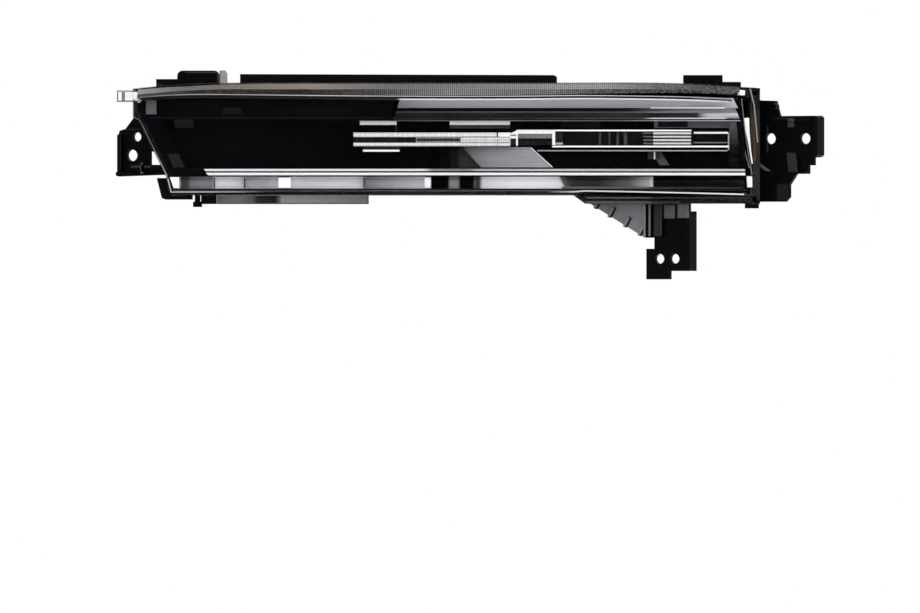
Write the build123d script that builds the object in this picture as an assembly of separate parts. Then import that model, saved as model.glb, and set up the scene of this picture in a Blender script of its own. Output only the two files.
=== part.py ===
from build123d import *
import math
import os

# Slim auxiliary driving light, one hand. Millimetres.
# x runs to the right seen from the front, y away from the viewer, z up. The part is worked out from the
# middle of the lens flange, and set down at the end with the middle of the leg's two holes as its origin.

# Lens seen from the front
lens_left = 188.6
lens_right = 187.8
lens_top = 38.1
lens_bottom = 29.8
lower_step = 5.0
step_from_right = 105.0
left_fall = 3.6
right_fall = 3.4
slant_top = 14.6
slant_bottom = -18.6
slant_run = 16.4

# Lens in depth
lens_depth = 44.0
lens_wall = 2.2
crown_from_left = 158.0
crown_radius = 1400.0
top_draft = 8.2
right_draft = 21.0
side_draft = 1.0
flange_thickness = 2.4

# Groove of the housing and the tongue of the lens that is glued into it
rim_inset = 0.4
rim_wall = 1.5
groove_width = 3.8
tongue_thickness = 2.2
tongue_length = 6.0
groove_depth = 8.0
inner_rim_wall = 1.6
rim_gap = 0.2

# Housing tub
housing_wall = 2.5
tub_depth = 32.0
tub_draft = 3.0
rib_thickness = 1.6
top_rib_count = 13

# Brackets: flat plates turned to face the car's corner
bracket_yaw = 25.0
bracket_thickness = 3.0
right_hole_diameter = 6.6
right_hole_pitch = 22.8
left_hole_diameter = 7.0
left_pin_hole_diameter = 5.6
leg_hole_diameter = 5.9
leg_hole_pitch = 10.0
leg_drop = 67.65
leg_from_right = 101.0
flange_return = 7.0
loop_drop = 4.7
far_away = 300.0
near_front = 60.0

# Inner pieces
inner_gap = 0.8
bezel_depth = 11.0
bezel_wall = 2.4
recess_floor = 8.0
shelf_height = 17.4
recess_bottom = -13.2
guide_height = 3.6
guide_top = -13.9
guide_left = 144.0
strip_top = -18.3
reflector_wall = 1.6
reflector_left = 28.2
trough_depth = 8.0
seat_gap = 0.2

# Light bar along the middle
bar_top = 8.0
bar_bottom = -0.4
bar_left = 55.2
bar_right = 38.0
bar_front = 22.0
block_left = 42.6
block_right = 63.6
block_top = 9.8
frame_top = 9.9
frame_bottom = -3.4
frame_right = 168.0
frame_bar = 1.0
frame_middle = -1.0
louvre_left = 123.6
louvre_right = 145.8
louvre_count = 5

# Boards and light sources
board_thickness = 1.6
board_face = -1.2
led_width = 3.0
led_height = 2.0
led_gap = 0.4
main_led_pitch = 14.0
guide_led_pitch = 12.0

# Heat sink on the back
sink_width = 104.0
sink_height = 40.0
sink_base = 3.5
sink_centre_x = -6.0
sink_centre_z = 5.0
fin_height = 14.0
fin_thickness = 1.8
fin_count = 14
ear_width = 10.0
pedestal_width = 86.0
pedestal_height = 14.0
screw_diameter = 4.0
screw_head = 7.6
screw_head_height = 2.6
board_head_height = 1.6
screw_length = 9.0
thread_gap = 0.05
hole_gap = 0.3
round_sides = 12

# Driver module, its gasket, socket and pins
driver_width = 76.0
driver_height = 34.0
driver_depth = 15.0
driver_wall = 2.2
driver_centre_x = 112.0
driver_centre_z = 7.0
gasket_thickness = 1.5
socket_width = 26.0
socket_depth = 13.0
socket_length = 17.0
socket_wall = 1.8
pin_count = 4
pin_pitch = 4.6
pin_width = 1.0
pin_length = 9.0

# Breather on the back and the strip on the top
vent_diameter = 15.0
vent_height = 6.0
vent_x = -118.0
vent_z = 6.0
strip_left = -124.2
strip_right = 66.0
strip_height = 3.7
strip_depth = 9.0
ledge_height = 1.4

os.makedirs("parts", exist_ok=True)


def front_plane(y):
    """Upright plane at depth y that looks at the viewer: its own x and y run along x and z."""
    return Plane(origin=(0, y, 0), x_dir=(1, 0, 0), z_dir=(0, -1, 0))


def slab(sketch, front, back):
    """Front-view sketch given thickness between two depths."""
    return extrude(front_plane(back) * sketch, amount=back - front, dir=(0, -1, 0))


def block(left, right, front, back, bottom, top):
    """Box between two values on each axis."""
    size = (right - left, back - front, top - bottom)
    centre = ((left + right) / 2, (front + back) / 2, (bottom + top) / 2)
    return Pos(*centre) * Box(*size)


def drill(x, z, diameter, front, back):
    """Bar along y for a screw hole or a shank, round but for its few faces."""
    return slab(Pos(x, z) * RegularPolygon(diameter / 2, round_sides), front, back)


def post(x, z, width, front, back):
    """Square post along y."""
    return block(x - width / 2, x + width / 2, front, back, z - width / 2, z + width / 2)


def group(bodies):
    """Like pieces kept as separate solids of one node."""
    return Compound([solid for body in bodies for solid in body.solids()])


def moved_in(points, gap):
    """Outline moved in by gap: each corner goes to where both of its sides meet once moved."""
    moved = []
    count = len(points)
    for index, (x, z) in enumerate(points):
        x_before, z_before = points[index - 1]
        x_after, z_after = points[(index + 1) % count]
        before = math.hypot(x - x_before, z - z_before)
        after = math.hypot(x_after - x, z_after - z)
        # Sides run clockwise, so the way in is to the right of each
        nx1, nz1 = (z - z_before) / before, -(x - x_before) / before
        nx2, nz2 = (z_after - z) / after, -(x_after - x) / after
        share = gap / (1 + nx1 * nx2 + nz1 * nz2)
        moved.append((x + (nx1 + nx2) * share, z + (nz1 + nz2) * share))
    return moved


top_points = 6


def lens_section(depth):
    """Outline of the lens at a depth in front of its flange, clockwise from the upper left corner."""
    share = depth / lens_depth
    drop = top_draft * share
    left = lens_left - side_draft * share
    right_top = lens_right - right_draft * share
    right_low = lens_right - right_draft / 2 * share
    low_left = -lens_bottom + side_draft * share
    low_right = -lens_bottom - lower_step + (lower_step + side_draft) * share
    step_x = lens_right - step_from_right
    return [
        (-left, lens_top - left_fall - drop),
        (-left + 28, lens_top - left_fall * 0.3 - drop),
        (-left + 61, lens_top - drop),
        (66, lens_top - drop),
        (lens_right - 45 - right_draft / 2 * share, lens_top - right_fall * 0.12 - drop),
        (right_top, lens_top - right_fall - drop),
        (right_low, low_right),
        (step_x, low_right),
        (step_x - 7, low_left),
        (-left + slant_run + 6, low_left),
        (-left + slant_run + 3.6, slant_bottom),
        (-left + 3.8, slant_top),
        (-left, slant_top + 2.4),
    ]


def outline(points):
    """Flat face of an outline whose first points are its curved top edge."""
    top = Spline(*points[:top_points])
    rest = Polyline(*points[top_points - 1:], points[0])
    return make_face(Curve() + [top, rest])


def lens_form(gap, near, far):
    """Body parallel to the drafted walls of the lens, moved in by gap, between two depths."""
    back_face = front_plane(-near) * outline(moved_in(lens_section(near), gap))
    front_face = front_plane(-far) * outline(moved_in(lens_section(far), gap))
    return loft([back_face, front_face], ruled=True)


def behind_lens(depth):
    """Upright cylinder parallel to the curved front of the lens, depth behind it."""
    radius = crown_radius - depth
    return Pos(crown_from_left - lens_left, crown_radius - lens_depth, 0) * Cylinder(radius, far_away)


def rim(inner, outer, front, back):
    """Ring that follows the lens outline between two insets."""
    foot = lens_section(0)
    band = outline(moved_in(foot, inner)) - outline(moved_in(foot, outer))
    return slab(band, front, back)


def bracket_plane(x, y):
    """Plane of a bracket's front face, turned so that its right-hand end is nearer the viewer."""
    yaw = math.radians(bracket_yaw)
    along = (math.cos(yaw), -math.sin(yaw), 0)
    return Plane(origin=(x, y, 0), x_dir=along, z_dir=(-math.sin(yaw), -math.cos(yaw), 0))


def raised(plane, sketch, amount):
    """Sketch on a bracket's face, given thickness towards the viewer, or away where it is negative."""
    return extrude(plane * sketch, amount=amount, dir=plane.z_dir)


def through(plane, sketch):
    """Cutter that runs through a bracket from both sides of its front face."""
    return extrude(plane * sketch, amount=20, both=True)


groove_start = rim_inset + rim_wall
groove_end = groove_start + groove_width
cavity_inset = groove_end + inner_rim_wall
tongue_start = groove_start + (groove_width - tongue_thickness) / 2
tongue_end = tongue_start + tongue_thickness
groove_floor = rim_gap + groove_depth
rim_back = groove_floor + 2.0


def make_lens():
    """Clear moulding: drafted shell with a curved front, flange, tongue, loop, snap tab and lower flanges."""
    outer = lens_form(0, 0, lens_depth + 4) & behind_lens(0)
    inner = lens_form(lens_wall, -1, lens_depth + 4) & behind_lens(lens_wall)
    shell = outer - inner
    flange = rim(0, tongue_end, -flange_thickness, 0)
    tongue = rim(tongue_start, tongue_end, -0.1, tongue_length)
    loop_top = lens_top - loop_drop
    loop = block(-lens_left - 9.6, -lens_left + 2, -flange_thickness - 1.4, 0, loop_top - 7, loop_top)
    window = (loop_top - 5.6, loop_top - 1.4)
    loop -= block(-lens_left - 4.2, -lens_left - 0.4, -flange_thickness - 2, 1, *window)
    tab = slab(Pos(-134, lens_top + 1.9) * RectangleRounded(4.8, 11, 1.4), -flange_thickness, 0)
    low = block(-138.1, -47, -flange_thickness, 0, -lens_bottom - lower_step, -lens_bottom + 1)
    return shell + flange + tongue + loop + tab + low


def make_seal():
    """Adhesive bead that fills the groove round the tongue."""
    return rim(groove_start, groove_end, 2.0, groove_floor) - rim(tongue_start, tongue_end, -1, tongue_length)


def tub_form(gap, near, far):
    """Tapered body behind the rim between two depths, gap inside its outer face."""
    step = cavity_inset - housing_wall + gap
    near_face = front_plane(near) * outline(moved_in(lens_section(0), step + tub_draft * near / tub_depth))
    far_face = front_plane(far) * outline(moved_in(lens_section(0), step + tub_draft * far / tub_depth))
    return loft([near_face, far_face], ruled=True)


leg_x = lens_right - leg_from_right
leg_y = tub_depth - 3
right_bracket_x = lens_right + 1.2
right_bracket_y = 15.0
right_hole_start = 5.9
left_bracket_x = -lens_left - 9.4
left_bracket_y = 20.0


def make_right_bracket():
    """Right bracket: notched plate with two holes, a folded right edge, set-back pads and a locating peg."""
    plane = bracket_plane(right_bracket_x, right_bracket_y)
    points = [(-9, 27.8), (9.2, 27.2), (11.7, 18.1), (38.6, 18.2), (39.9, 17.0), (39.9, -5.4), (38.6, -6.6),
              (34.4, -7.0), (34.4, -11.6), (30.8, -11.6), (30.8, -16.7), (22.8, -16.7), (18.2, -23.3),
              (18.2, -30.6), (15.6, -33.4), (-9, -33.4)]
    plate = raised(plane, Polygon(*points, align=None), -bracket_thickness)
    fold = raised(plane, Pos(38.4, 5.8) * RectangleRounded(3.0, 24.0, 1.4), flange_return)
    upper = raised(plane, Pos(25.5, 15.9) * Rectangle(16, 2.0), 4.0)
    lower = raised(plane, Pos(26.8, -16.0) * Rectangle(8, 1.4), 4.0)
    web = raised(plane, Pos(24.5, -12.0) * Rectangle(1.6, 9.4), 4.0)
    peg = raised(plane, Pos(9.8, 23.8) * Circle(1.9), 5.0)
    body = plate + fold + upper + lower + web + peg
    for u in (right_hole_start, right_hole_start + right_hole_pitch):
        body -= through(plane, Pos(u, 4.5) * Circle(right_hole_diameter / 2))
    return body


def make_left_bracket():
    """Left bracket: plate with a screw hole and a pin hole, tied to the housing above and by an arm below."""
    plane = bracket_plane(left_bracket_x, left_bracket_y)
    points = [(11.3, 17.8), (5.2, 10.4), (1.4, 9.4), (0.7, 7.4), (0.7, -18.2), (33, -17.2), (33, -11.2),
              (21.6, -11.2), (21.6, -3.3), (33, -3.3), (33, 17.8)]
    plate = raised(plane, Polygon(*points, align=None), -bracket_thickness)
    edge = raised(plane, Pos(2.8, -5.6) * Rectangle(2.4, 25.0), 4.0)
    foot = raised(plane, Pos(10.5, -16.6) * Rectangle(19.6, 2.2), 4.0)
    clip = raised(plane, Pos(15.8, -13.2) * Rectangle(3.6, 4.6), 4.0)
    body = plate + edge + foot + clip
    for u, z, diameter in ((13.0, 5.6, left_pin_hole_diameter), (9.7, -5.5, left_hole_diameter)):
        body -= through(plane, Pos(u, z) * Circle(diameter / 2))
    return body


leg_middle_u = 50.1


def make_leg():
    """Leg below the lamp: ribbed gusset, hanging plate with two holes and a folded right edge."""
    plane = bracket_plane(leg_x, leg_y)
    points = [(-1, -22), (-1, -34.4), (35.2, -55.0), (41.6, -55.0), (41.6, -61.6), (36.3, -61.6),
              (36.3, -80.0), (51.7, -80.0), (51.7, -75.0), (68.2, -75.0), (68.2, -39.2), (64.5, -39.2),
              (64.5, -22)]
    plate = raised(plane, Polygon(*points, align=None), -bracket_thickness)
    fold = raised(plane, Pos(66.7, -57.1) * RectangleRounded(3.0, 35.8, 1.2), flange_return)
    body = plate + fold
    slope = math.degrees(math.atan2(-20.6, 36.2))
    for u, z in ((5.2, -36.4), (14.4, -41.6), (24.6, -47.4), (34.2, -52.6)):
        bar = Pos(u, z + 1.8) * Rot(0, 0, slope + 90) * Rectangle(6.4, rib_thickness)
        body += raised(plane, bar, 3.6)
    for u in (36.6, 40.0, 47.4):
        body += raised(plane, Pos(u, -45) * Rectangle(1.2, 19.6), 3.2)
    for u in (leg_middle_u - leg_hole_pitch / 2, leg_middle_u + leg_hole_pitch / 2):
        hole = Circle(leg_hole_diameter / 2)
        body -= through(plane, Pos(u, -leg_drop) * hole)
    return body


def ledge_top():
    """Height of the ledge that carries the strip on top."""
    return lens_top + ledge_height


sink_screws = [(sink_centre_x + side * (sink_width / 2 - 5), sink_centre_z + up * (sink_height / 2 - 5))
               for side in (-1, 1) for up in (-1, 1)]
driver_screws = [(driver_centre_x + side * (driver_width / 2 - 4),
                  driver_centre_z + up * (driver_height / 2 - 5)) for side in (-1, 1) for up in (-1, 1)]
bezel_screws = [(-20.0, 25.5), (150.0, 25.5), (100.0, -22.4), (165.0, -22.4)]
back_screws = sink_screws + driver_screws
tub_back = tub_depth
tub_floor = tub_depth - housing_wall
shank = screw_diameter - 0.6


def make_housing():
    """Black moulding: rim with the lens groove, ribbed tub, towers, ledge and the three brackets."""
    # Towers and ledge on the top
    tower = slab(Pos(-149.2, lens_top - 0.7) * RectangleRounded(25.4, 15.8, 3.2), 2, 16)
    tower -= block(-158.6, -138.6, 1, 4, lens_top - 1.0, lens_top + 4.9)
    right_tower = block(141.8, 165.4, 2.5, 13, 30, lens_top + 4.5)
    right_tower -= block(146.2, 160.6, 1, 4, lens_top + 0.4, lens_top + 3.4)
    lip = [(-174.2, -19.2), (-171.2, -31.2), (-169.0, -32.1), (-152.6, -32.1), (-152.6, -26), (-163, -26),
           (-166, -19.2)]
    added = [
        tub_form(0, rim_gap + 0.5, tub_back),
        tower,
        right_tower,
        block(-174.6, -160, 3, 13, 26, lens_top + 2.1),
        block(165, 176.4, 2.5, 10, 27, lens_top + 0.4),
        block(strip_left, strip_right, 2, 2 + strip_depth + 2, lens_top - 6, ledge_top()),
        # Lip and feet below
        slab(Polygon(*lip, align=None), rim_gap, rim_back),
        block(-147.6, -138.3, rim_gap, rim_back, -lens_bottom - lower_step, -26),
        Pos(-149.7, 5, -31.4) * Cylinder(1.7, 9.6),
        block(-152.4, -147.0, 2.3, 7.7, -36.6, -33.4),
        block(178.8, 187.2, 2, rim_back, -lens_bottom - lower_step - 2.6, -29),
        make_right_bracket(),
        make_left_bracket(),
        make_leg(),
    ]
    # Ribs between the rim and the tub, along the top and the bottom
    spacing = (lens_left + lens_right - 60) / (top_rib_count - 1)
    for index in range(top_rib_count):
        x = -lens_left + 34 + spacing * index
        for low, high in ((lens_top - 12, lens_top - 2.6), (-lens_bottom + 2.6, -lens_bottom + 9)):
            added.append(block(x, x + rib_thickness, rim_back - 1, tub_back - 2, low, high))
    body = rim(rim_inset, cavity_inset, rim_gap, rim_back) + added
    body -= [
        tub_form(housing_wall, rim_back, tub_floor),
        rim(groove_start, groove_end, -1, groove_floor),
        slab(outline(moved_in(lens_section(0), cavity_inset)), -1, rim_back),
    ]
    # Bosses for the screws from the back, and posts that carry the bezel and the guide board
    body += [post(x, z, screw_head, tub_back - screw_length - 1, tub_back - 1) for x, z in back_screws]
    body += [post(x, z, screw_head, bezel_seat, tub_floor + 0.5) for x, z in bezel_screws]
    body += [post(x, z, screw_head - 1, guide_seat, tub_floor + 0.5) for x, z in guide_posts]
    # Windows for the heat sink and the driver, the breather's hole and the screw holes
    thread = shank + 2 * thread_gap
    half_width, half_height = pedestal_width / 2 + 1, pedestal_height / 2 + 1
    cuts = [
        block(sink_centre_x - half_width, sink_centre_x + half_width, 1, tub_back + 1,
              pedestal_z - half_height, pedestal_z + half_height),
        block(driver_centre_x - 24, driver_centre_x + 24, tub_floor - 1, tub_back + 1,
              driver_centre_z - 9, driver_centre_z + 9),
        drill(vent_x, vent_z, vent_diameter * 0.5 + 2 * hole_gap, tub_floor - 1, tub_back + 1),
    ]
    cuts += [drill(x, z, thread, tub_back - screw_length + 0.5, tub_back + 1) for x, z in back_screws]
    cuts += [drill(x, z, thread, bezel_seat - 1, bezel_seat + screw_length) for x, z in bezel_screws]
    cuts += [drill(x, z, thread, guide_seat - 1, guide_seat + screw_length) for x, z in guide_posts]
    return body - cuts


bezel_back = -flange_thickness - 0.8
bezel_seat = bezel_back
guide_seat = board_face + board_thickness
pedestal_z = (bar_top + bar_bottom) / 2
guide_middle = guide_top - guide_height / 2
guide_posts = [(-128.0, guide_middle + 6), (158.0, guide_middle + 6)]


def inside_lens(depth):
    """Room for the inner pieces: clear of the lens walls, depth behind its front, straight at the right."""
    gap = lens_wall + inner_gap
    tapered = lens_form(gap, 0, lens_depth)
    straight = slab(outline(moved_in(lens_section(18), gap)), -lens_depth, bezel_back)
    return tapered & straight & behind_lens(depth)


def four_sided(left_top, right_top, left_bottom, right_bottom, bottom, top):
    """Front-view outline with level top and bottom and two leaning sides."""
    corners = [(left_top, top), (right_top, top), (right_bottom, bottom), (left_bottom, bottom)]
    return Polygon(*corners, align=None)


recess_left_top = -lens_left + 18
recess_left_bottom = recess_left_top + (shelf_height - recess_bottom) * slant_run / (slant_top - slant_bottom)
recess_right_top = lens_right - 14.2
recess_right_bottom = lens_right - 10.6
recess_back = bezel_back - recess_floor + 3
stem_back = board_face - led_gap - 1.0
stem_half = 2.2


def make_bezel():
    """Gloss black inner moulding: hollow upper band, deep recess, slots for the guide and the lower strip."""
    body = inside_lens(bezel_depth)
    above = lens_top + 20
    # Recess along the middle
    recess = four_sided(recess_left_top, recess_right_top, recess_left_bottom, recess_right_bottom,
                        recess_bottom, shelf_height - bezel_wall)
    body -= slab(recess, -near_front, recess_back)
    # Pocket of the upper reflector, with its slanted left end
    pocket = Polygon((-reflector_left, above), (lens_right, above), (lens_right, shelf_height),
                     (-reflector_left - 5, shelf_height), align=None)
    body -= slab(pocket, -near_front, recess_back)
    # Slot of the light guide, open at the front and through the back
    low, high = guide_top - guide_height - 0.3, guide_top + 0.3
    body -= block(-guide_left - 0.3, far_away, -near_front, 10, low, high)
    # Pocket of the lower strip
    body -= block(-far_away, far_away, -near_front, recess_back, -lens_bottom - 30, strip_top)
    # Hollow of the upper band and of the left end, open at the back
    band = four_sided(-lens_left + 8, -reflector_left - 8, -lens_left + 8, -reflector_left - 8,
                      shelf_height + 1, lens_top - 14)
    body -= slab(band, -lens_depth + bezel_depth + bezel_wall + 8, 0)
    # Slots for the stems of the light bar and the frame
    body -= block(-bar_left - 0.3, frame_right + 0.3, -20, 0, pedestal_z - 2.6, pedestal_z + 2.6)
    # Screw holes
    for x, z in bezel_screws:
        body -= drill(x, z, screw_diameter + hole_gap, -near_front, 0)
    return body


def head_pockets():
    """Room for the heads of the bezel's screws in what lies over them."""
    front = recess_back - screw_head_height - 0.4
    return [drill(x, z, screw_head + 1, front, recess_back + 1) for x, z in bezel_screws]


def make_upper_reflector():
    """Stepped silver reflector: curved upper facet, two upright bands and the ledges between them."""
    crest = shelf_height + 13.6
    side = make_face(Curve() + [
        ThreePointArc((-40, crest), (-24, crest - 3.8), (-11, crest - 8.2)),
        Polyline((-11, crest - 8.2), (-11, crest - 10.4), (-14, crest - 10.8), (-14, shelf_height + 0.2),
                 (-9, shelf_height + 0.2), (-9, crest + 3), (-40, crest + 3), (-40, crest)),
    ])
    start = Plane(origin=(-reflector_left - 4, 0, 0), x_dir=(0, 1, 0), z_dir=(1, 0, 0))
    bar = extrude(start * side, amount=far_away, dir=(1, 0, 0))
    room = inside_lens(bezel_depth - 1)
    above = lens_top + 20
    cut = Polygon((-reflector_left + 0.3, above), (recess_right_top, above), (recess_right_top, shelf_height),
                  (-reflector_left - 4.6, shelf_height), align=None)
    body = bar & room & slab(cut, -near_front, recess_back - seat_gap)
    return body - head_pockets()


def make_end_reflector():
    """Pale upright pillar at the right end of the recess, round towards the viewer."""
    left = frame_right + 1.0
    middle = (recess_bottom + shelf_height - bezel_wall) / 2
    pillar = Pos(left + 3, recess_back, middle) * Cylinder(8, 60)
    shape = four_sided(left, recess_right_top - 0.3, left, recess_right_bottom - 0.3,
                       recess_bottom + 0.3, shelf_height - bezel_wall - 0.3)
    return pillar & slab(shape, -40, recess_back - seat_gap)


def make_centre_trim():
    """Slanted grey panel between the light bar and the guide, leaning back at its foot."""
    shape = four_sided(9.0, 50.1, 20.4, 63.2, recess_bottom + 0.3, bar_bottom - 0.3)
    return slab(shape, recess_back - seat_gap - 3.0, recess_back - seat_gap)


strip_divisions = [-159.8, -139.5, -121.2, -101.3, -49.8, -9.3, 1.4, 7.2, 16.2, 20.9, 69.0, 121.8, 123.8]


def make_lower_reflector():
    """Shallow trough along the bottom, open at the front, with a thin fin at each change of facet."""
    top = strip_top - 0.4
    bottom = -lens_bottom + lens_wall + inner_gap + 0.4
    middle = (top + bottom) / 2
    lip = reflector_wall / 2
    mouth = recess_back - seat_gap - trough_depth
    back = recess_back - seat_gap
    side = Polygon((mouth, top - lip), (mouth + 2.4, middle + 1.6), (mouth + 3.0, middle),
                   (mouth + 2.4, middle - 1.6), (mouth, bottom + lip), (-lens_depth, bottom + lip),
                   (-lens_depth, bottom), (back, bottom), (back, top), (-lens_depth, top),
                   (-lens_depth, top - lip), align=None)
    plane = Plane(origin=(-lens_left, 0, 0), x_dir=(0, 1, 0), z_dir=(1, 0, 0))
    trough = extrude(plane * side, amount=lens_left + lens_right, dir=(1, 0, 0))
    fins = [block(x - 0.4, x + 0.4, -lens_depth, back, bottom, top) for x in strip_divisions]
    body = (trough & inside_lens(bezel_depth)) + [fin & behind_lens(bezel_depth + 3) for fin in fins]
    return body - head_pockets()


def make_guide():
    """Clear blade with a groove along its front edge and a slanted left end."""
    right = recess_right_bottom + 1
    low = guide_top - guide_height
    shape = four_sided(-guide_left + 3.0, right, -guide_left, right, low, guide_top)
    blade = slab(shape, -near_front, stem_back) & behind_lens(7.0)
    notch = block(-far_away, far_away, -near_front, near_front, guide_top - 1.7, guide_top - 1.1)
    notch &= behind_lens(7.0) - behind_lens(8.2)
    room = inside_lens(5.0)
    tail = slab(shape, bezel_back - 0.2, stem_back)
    return (blade & room) + tail - notch


def stem(left, right, front):
    """Rib behind the bar, the block or the frame that carries the light from the board to them."""
    return block(left, right, front, stem_back, pedestal_z - stem_half, pedestal_z + stem_half)


def make_light_bar():
    """Prismatic bar: two rails with a slot between them at the left, filled at the right."""
    body = block(-bar_left, bar_right, -bar_front, recess_back - 1.0, bar_bottom, bar_top)
    body -= block(-bar_left - 1, -18.6, -bar_front - 1, -bar_front + 6, bar_bottom + 3.4, bar_top - 3.4)
    body -= block(-bar_left - 1, bar_right + 1, -bar_front - 1, -bar_front + 1.2,
                  pedestal_z - 0.4, pedestal_z + 0.4)
    return body + stem(-bar_left, bar_right, recess_back - 1.5)


def make_collimator():
    """Stepped clear block where the light bar meets the frame."""
    body = block(block_left, block_right, -bar_front - 1.0, recess_back - 1.0, bar_bottom + 1, block_top)
    step = (bar_bottom + 1.6, block_top - 2)
    body += block(bar_right + 0.2, block_left + 0.1, -bar_front + 1, recess_back - 1.0, *step)
    pocket = (bar_bottom + 2, pedestal_z + 0.8)
    body -= block(block_left + 0.4, block_right - 1.0, -bar_front - 2, -bar_front + 4, *pocket)
    return body + stem(block_left + 1, block_right - 1, recess_back - 1.5)


frame_left = block_right + 0.3


def make_frame():
    """Thin bright frame: two rails on each side, an end post and the backplate that carries them."""
    front = -bar_front + 1
    body = block(frame_left, frame_right, recess_back - 2.6, recess_back - seat_gap, frame_bottom, frame_top)
    for bottom in (frame_top - frame_bar, frame_middle, frame_bottom):
        body += block(frame_left, frame_right, front, recess_back - 1, bottom, bottom + frame_bar)
    body += block(frame_right - frame_bar, frame_right, front, recess_back - 1, frame_bottom, frame_top)
    return body + stem(frame_left + 8, frame_right - 8, recess_back - 0.5)


def make_louvre():
    """Ribbed lens held between the rails of the frame."""
    bottom = frame_middle + frame_bar + 0.1
    top = frame_top - frame_bar - 0.1
    back = recess_back - 2.8
    body = block(louvre_left, louvre_right, -bar_front + 6, back, bottom, top)
    pitch = (top - bottom) / louvre_count
    for index in range(louvre_count):
        middle = bottom + pitch * (index + 0.5)
        rib = (middle - pitch * 0.3, middle + pitch * 0.3)
        body += block(louvre_left, louvre_right, -bar_front + 2, back, *rib)
    return body


def make_retainers():
    """Three bright clips on the back wall of the recess, two above the bar and one below."""
    back = recess_back - seat_gap
    places = ((-52.2, -30.1, 12.5, 14.9), (1.6, 37.8, 12.5, 14.9), (-50.4, -28.4, -3.9, -1.7))
    return group([block(left, right, back - 3.4, back, low, high) for left, right, low, high in places])


def led_row(left, right, pitch, z):
    """Light sources in a row on the front of a board."""
    count = max(2, int((right - left) / pitch))
    step = (right - left) / (count - 1)
    front = board_face - 0.8
    row = [block(left + step * i - led_width / 2, left + step * i + led_width / 2, front, board_face,
                 z - led_height / 2, z + led_height / 2) for i in range(count)]
    return group(row)


def make_main_board():
    """Board behind the light bar and the frame, clamped on the heat sink's pedestal."""
    back = board_face + board_thickness
    return block(-bar_left - 2, frame_right, board_face, back, pedestal_z - 6, pedestal_z + 6)


def make_guide_board():
    """Board behind the light guide, screwed to posts of the housing."""
    back = board_face + board_thickness
    plate = block(-guide_left + 8, frame_right, board_face, back, guide_middle - 2.4, guide_middle + 9)
    for x, z in guide_posts:
        plate -= drill(x, z, screw_diameter + hole_gap, -10, 10)
    return plate


def make_heat_sink():
    """Casting on the back wall: base, fins behind it and a pedestal that reaches the board."""
    x, z = sink_centre_x, sink_centre_z
    half_width, half_height = sink_width / 2, sink_height / 2
    top = tub_back + sink_base
    body = block(x - half_width, x + half_width, tub_back, top, z - half_height, z + half_height)
    spacing = (sink_width - fin_thickness - 2 * ear_width) / (fin_count - 1)
    for index in range(fin_count):
        left = x - half_width + ear_width + spacing * index
        body += block(left, left + fin_thickness, top - 0.5, top + fin_height,
                      z - half_height + 1, z + half_height - 1)
    reach, half_width = pedestal_height / 2 - 1, pedestal_width / 2
    body += block(x - half_width, x + half_width, board_face + board_thickness, tub_back + 0.5,
                  pedestal_z - reach, pedestal_z + reach)
    for sx, sz in sink_screws:
        body -= drill(sx, sz, screw_diameter + hole_gap, tub_back - 1, top + 1)
    return body


def screw(x, z, seat, towards_viewer, head_height):
    """Hexagon head screw along y with its head on the seat."""
    way = -1 if towards_viewer else 1
    head_end = seat + way * head_height
    tip = seat - way * (screw_length - 1)
    hexagon = Pos(x, z) * RegularPolygon(screw_head / 2, 6)
    head = slab(hexagon, min(seat, head_end), max(seat, head_end))
    return head + drill(x, z, shank, min(seat, tip), max(seat, tip))


def make_driver_case():
    """Black module case on the back, with a lid rim and four ears."""
    x, z = driver_centre_x, driver_centre_z
    seat = tub_back + gasket_thickness
    half_width, half_height = driver_width / 2 - 11, driver_height / 2 - 3
    plate = slab(Pos(x, z) * Rectangle(driver_width, driver_height), seat, seat + driver_wall)
    cover = Pos(x, z) * RectangleRounded(driver_width - 18, driver_height - 2, 3)
    body = plate + slab(cover, seat, seat + driver_depth)
    body -= block(x - half_width, x + half_width, seat - 1, seat + driver_depth - driver_wall,
                  z - half_height, z + half_height)
    for index in range(7):
        left = x - 21 + index * 6.4
        body += block(left, left + 1.6, seat + driver_depth - 0.2, seat + driver_depth + 1.4,
                      z - half_height + 2, z + half_height - 2)
    for sx, sz in driver_screws:
        body -= drill(sx, sz, screw_diameter + hole_gap, seat - 1, seat + driver_wall + 1)
    return body


def make_gasket():
    """Flat ring between the driver case and the back wall."""
    x, z = driver_centre_x, driver_centre_z
    back = tub_back + gasket_thickness
    ring = slab(Pos(x, z) * Rectangle(driver_width - 2, driver_height - 2), tub_back, back)
    ring -= block(x - 25, x + 25, tub_back - 1, back + 1, z - 10, z + 10)
    for sx, sz in driver_screws:
        ring -= drill(sx, sz, screw_diameter + hole_gap, tub_back - 1, back + 1)
    return ring


socket_top = driver_centre_z - driver_height / 2 + 1
socket_y = tub_back + gasket_thickness + driver_wall + socket_depth / 2 + hole_gap


def make_socket():
    """Shrouded inlet that points down from the driver case."""
    x = driver_centre_x
    half, deep = socket_width / 2, socket_depth / 2
    front, back = socket_y - deep, socket_y + deep
    low = socket_top - socket_length
    body = block(x - half, x + half, front, back, low, socket_top)
    body -= block(x - half + socket_wall, x + half - socket_wall, front + socket_wall, back - socket_wall,
                  low - 1, socket_top - 3.5)
    body += block(x - 3, x + 3, back - 0.2, back + 1.6, socket_top - 11, socket_top - 7)
    return body - [pin_form(index, socket_top - 4, socket_top + 1) for index in range(pin_count)]


def pin_form(index, bottom, top):
    """Square bar where one of the pins runs, between two heights."""
    x = driver_centre_x + (index - (pin_count - 1) / 2) * pin_pitch
    half = pin_width / 2
    return block(x - half, x + half, socket_y - half, socket_y + half, bottom, top)


def make_pins():
    """Flat pins in the socket."""
    bottom = socket_top - 3.5 - pin_length
    return group([pin_form(index, bottom, socket_top) for index in range(pin_count)])


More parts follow.
